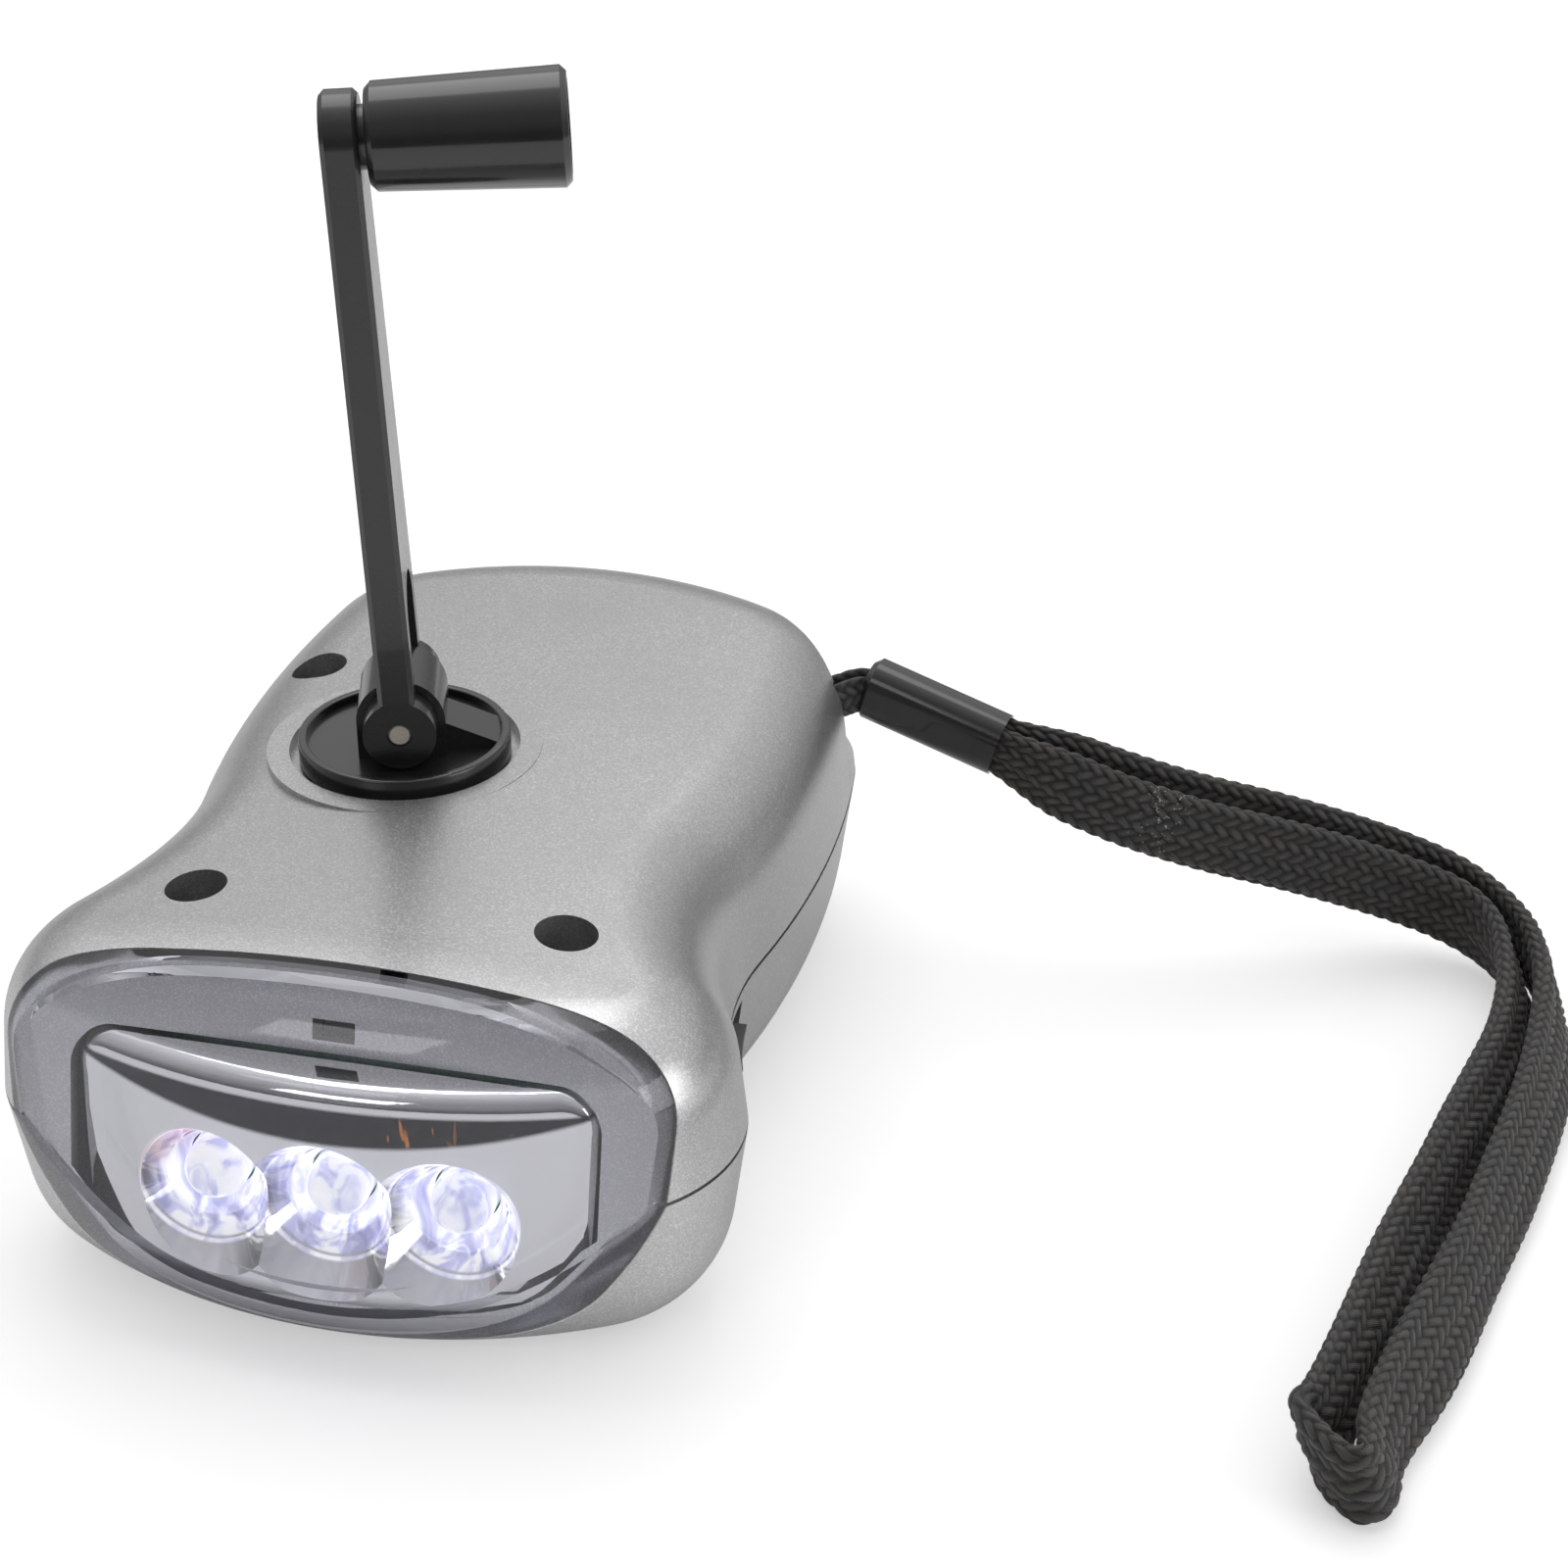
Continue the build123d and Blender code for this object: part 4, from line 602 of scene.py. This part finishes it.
def braided(name, line, tilt, half_width, half_thick, columns, row, relief, ribs, squeeze=None):
    """A flat braided tube along a line, with the relief of its yarns and ribs in the mesh.

    Its middle line, for the cord's path, comes back with it.
    """
    count = columns * POINTS_PER_COLUMN
    spots, lean, at = even(line, np.radians(tilt), row / RINGS_PER_ROW)
    lean = lean + wander(at, *LEAN_WAVES)
    tangent = unit(np.gradient(spots, axis=0))
    rise = np.stack([-np.sin(lean), np.zeros(len(lean)), np.cos(lean)], axis=1)
    rise = unit(rise - tangent * (rise * tangent).sum(axis=1, keepdims=True))
    side = np.cross(tangent, rise)
    ring, outward = flat_oval(half_width, half_thick, count)
    u, v = np.meshgrid(np.arange(count) / POINTS_PER_COLUMN, at / row)
    height, yarn, across = braid(u, v)
    share = ring[None, :, 0] / half_width
    drift = RIB_DRIFT * wander(at, *RIB_WAVES)[:, None]
    swell = np.cos(np.pi * (RIB_COUNT * share + drift))
    flat = np.abs(outward[None, :, 1]) ** 2
    depth = -relief * (1.0 - height) - ribs * flat * (0.5 - 0.5 * swell)
    scale = np.ones((len(spots), 2)) if squeeze is None else squeeze(at, at[-1])
    px = ring[None, :, 0] * scale[:, :1] + outward[None, :, 0] * depth
    py = ring[None, :, 1] * scale[:, 1:] + outward[None, :, 1] * depth
    points = (spots[:, None, :] + rise[:, None, :] * px[..., None]
              + side[:, None, :] * py[..., None])
    k, r = np.meshgrid(np.arange(count), np.arange(len(spots) - 1))
    k_next = (k + 1) % count
    quads = np.stack([r * count + k, r * count + k_next, (r + 1) * count + k_next,
                      (r + 1) * count + k], axis=-1).reshape(-1, 4)
    last = (len(spots) - 1) * count
    faces = quads.tolist() + [list(range(count))[::-1], list(range(last, last + count))]
    mesh = bpy.data.meshes.new(name)
    mesh.from_pydata(points.reshape(-1, 3).tolist(), [], faces)
    for label, values in (("lift", height), ("yarn", yarn), ("across", across)):
        attribute = mesh.attributes.new(label, "FLOAT", "POINT")
        attribute.data.foreach_set("value", values.astype(np.float32).ravel())
    mesh.polygons.foreach_set("use_smooth", [True] * len(mesh.polygons))
    mesh.materials.append(YARN)
    made = bpy.data.objects.new(name, mesh)
    bpy.context.scene.collection.objects.link(made)
    return made, spots


def sleeve_squeeze(at, total):
    """The sleeve pinches both ends of the strap: factors of its width and thickness."""
    share = np.clip(np.minimum(at, total - at) / PINCH_REACH, 0.0, 1.0)
    ease = share * share * (3.0 - 2.0 * share)
    return np.stack([PINCH_WIDTH + (1.0 - PINCH_WIDTH) * ease,
                     PINCH_THICKNESS + (1.0 - PINCH_THICKNESS) * ease], axis=1)


controls = strap_points()
strap_line = spline_line([p[:3] for p in controls], "strap_line")
strap_tilt = spline_line([(p[3], 0.0, 0.0) for p in controls], "strap_tilt")[:, 0]
strap, strap_path = braided("strap_braid", strap_line, strap_tilt, STRAP_WIDTH / 2,
                            STRAP_THICKNESS / 2 + YARN_PROUD, columns=16, row=1.45 * MM,
                            relief=0.30 * MM, ribs=0.28 * MM, squeeze=sleeve_squeeze)
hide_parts("wrist_strap")
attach(strap, "housing")

# The strap's tail: a narrow band from the sleeve, round the boss inside the housing and back.
TAIL_WAY = [
    (0.0302, 0.0322, 0.0244), (0.0272, 0.0326, 0.0252), (0.0240, 0.0308, 0.0244),
    (0.0213, 0.0297, 0.0236), (0.0186, 0.0291, 0.0234), (0.0177, 0.0270, 0.0234),
    (0.0192, 0.0254, 0.0234), (0.0216, 0.0258, 0.0234), (0.0233, 0.0280, 0.0240),
    (0.0252, 0.0295, 0.0246), (0.0274, 0.0309, 0.0251), (0.0302, 0.0308, 0.0244),
]
tail_line = spline_line(TAIL_WAY, "tail_line")
tail, _ = braided("tail_braid", tail_line, np.zeros(len(tail_line)), 1.8 * MM, 0.5 * MM,
                  columns=8, row=1.1 * MM, relief=0.12 * MM, ribs=0.0)
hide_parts("strap_tail")
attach(tail, "housing")


# === stage and light ======================================================================

FLOOR_HALF = 0.55
# How much light of its own the floor shows to the camera, to read as white there.
FLOOR_LIFT = 0.42


def white_floor():
    """Pale matt floor that reads as white to the camera and keeps the object's shadow."""
    mat = shader("pale_floor", (0.86, 0.86, 0.86), 0.9)
    cloud = noise(mat, 6.0, detail=2.0).outputs["Fac"]
    link(mat, ramp(mat, cloud, [(0.0, (0.855, 0.855, 0.855)), (1.0, (0.865, 0.865, 0.865))]),
         "Base Color")
    seen = node(mat, "LightPath").outputs["Is Camera Ray"]
    principled(mat).inputs["Emission Color"].default_value = (1.0, 1.0, 1.0, 1.0)
    link(mat, product(mat, seen, FLOOR_LIFT), "Emission Strength")
    return mat


floor_mesh = bpy.data.meshes.new("floor")
floor_mesh.from_pydata([(x * FLOOR_HALF, y * FLOOR_HALF, 0.0)
                        for x, y in ((-1, -1), (1, -1), (1, 1), (-1, 1))], [], [(0, 1, 2, 3)])
floor_mesh.materials.append(white_floor())
floor = bpy.data.objects.new("floor", floor_mesh)
bpy.context.scene.collection.objects.link(floor)


def softbox(name, location, target, size, power):
    """One square area lamp that looks at a point."""
    data = bpy.data.lights.new(name, "AREA")
    data.shape = "SQUARE"
    data.size = size
    data.energy = power
    lamp = bpy.data.objects.new(name, data)
    lamp.location = location
    aim = np.array(target) - np.array(location)
    lamp.rotation_euler = (math.atan2(math.hypot(aim[0], aim[1]), -aim[2]), 0.0,
                           math.atan2(aim[0], -aim[1]) + math.pi)
    bpy.context.scene.collection.objects.link(lamp)


BODY_MIDDLE, BODY_FRONT = (0.0, 0.0, 0.03), (0.0, -0.03, 0.02)
softbox("overhead", (-0.10, 0.30, 0.70), BODY_MIDDLE, size=0.55, power=1.15)
softbox("right", (0.75, -0.15, 0.20), BODY_MIDDLE, size=0.36, power=1.1)
softbox("front", (-0.25, -0.75, 0.55), BODY_FRONT, size=0.30, power=0.45)


# The studio's walls: how bright they are from straight below, 0, to straight above, 1, and
# the share of that left behind the camera, which fades in from one Y of the view to the other.
WALLS = ((0.0, 0.50), (0.45, 0.24), (0.55, 0.26), (0.70, 0.65), (1.0, 1.0))
DIM_FULL, DIM_ENDS, DIM_SHARE = -0.7, 0.3, 0.30
WHITE = (1.0, 1.0, 1.0, 1.0)


def studio_world():
    """Plain studio: light walls above and behind the object, white to the camera itself."""
    world = bpy.data.worlds.new("studio")
    world.use_nodes = True
    way = node(world, "TexCoord").outputs["Generated"]
    split = node(world, "SeparateXYZ", {0: way}).outputs
    height = ramp(world, spread(world, split["Z"], (-1.0, 1.0), (0.0, 1.0)),
                  [(at, (grey, grey, grey)) for at, grey in WALLS])
    behind = spread(world, split["Y"], (DIM_FULL, DIM_ENDS), (DIM_SHARE, 1.0))
    sky = world.node_tree.nodes["Background"]
    sky.inputs["Color"].default_value = WHITE
    world.node_tree.links.new(product(world, behind, height), sky.inputs["Strength"])
    white = node(world, "Background", {"Color": WHITE, "Strength": 1.0})
    seen = node(world, "LightPath").outputs["Is Camera Ray"]
    pick = node(world, "MixShader", {0: seen, 1: sky.outputs[0], 2: white.outputs[0]})
    world.node_tree.links.new(pick.outputs[0],
                              world.node_tree.nodes["World Output"].inputs["Surface"])
    return world


bpy.context.scene.world = studio_world()
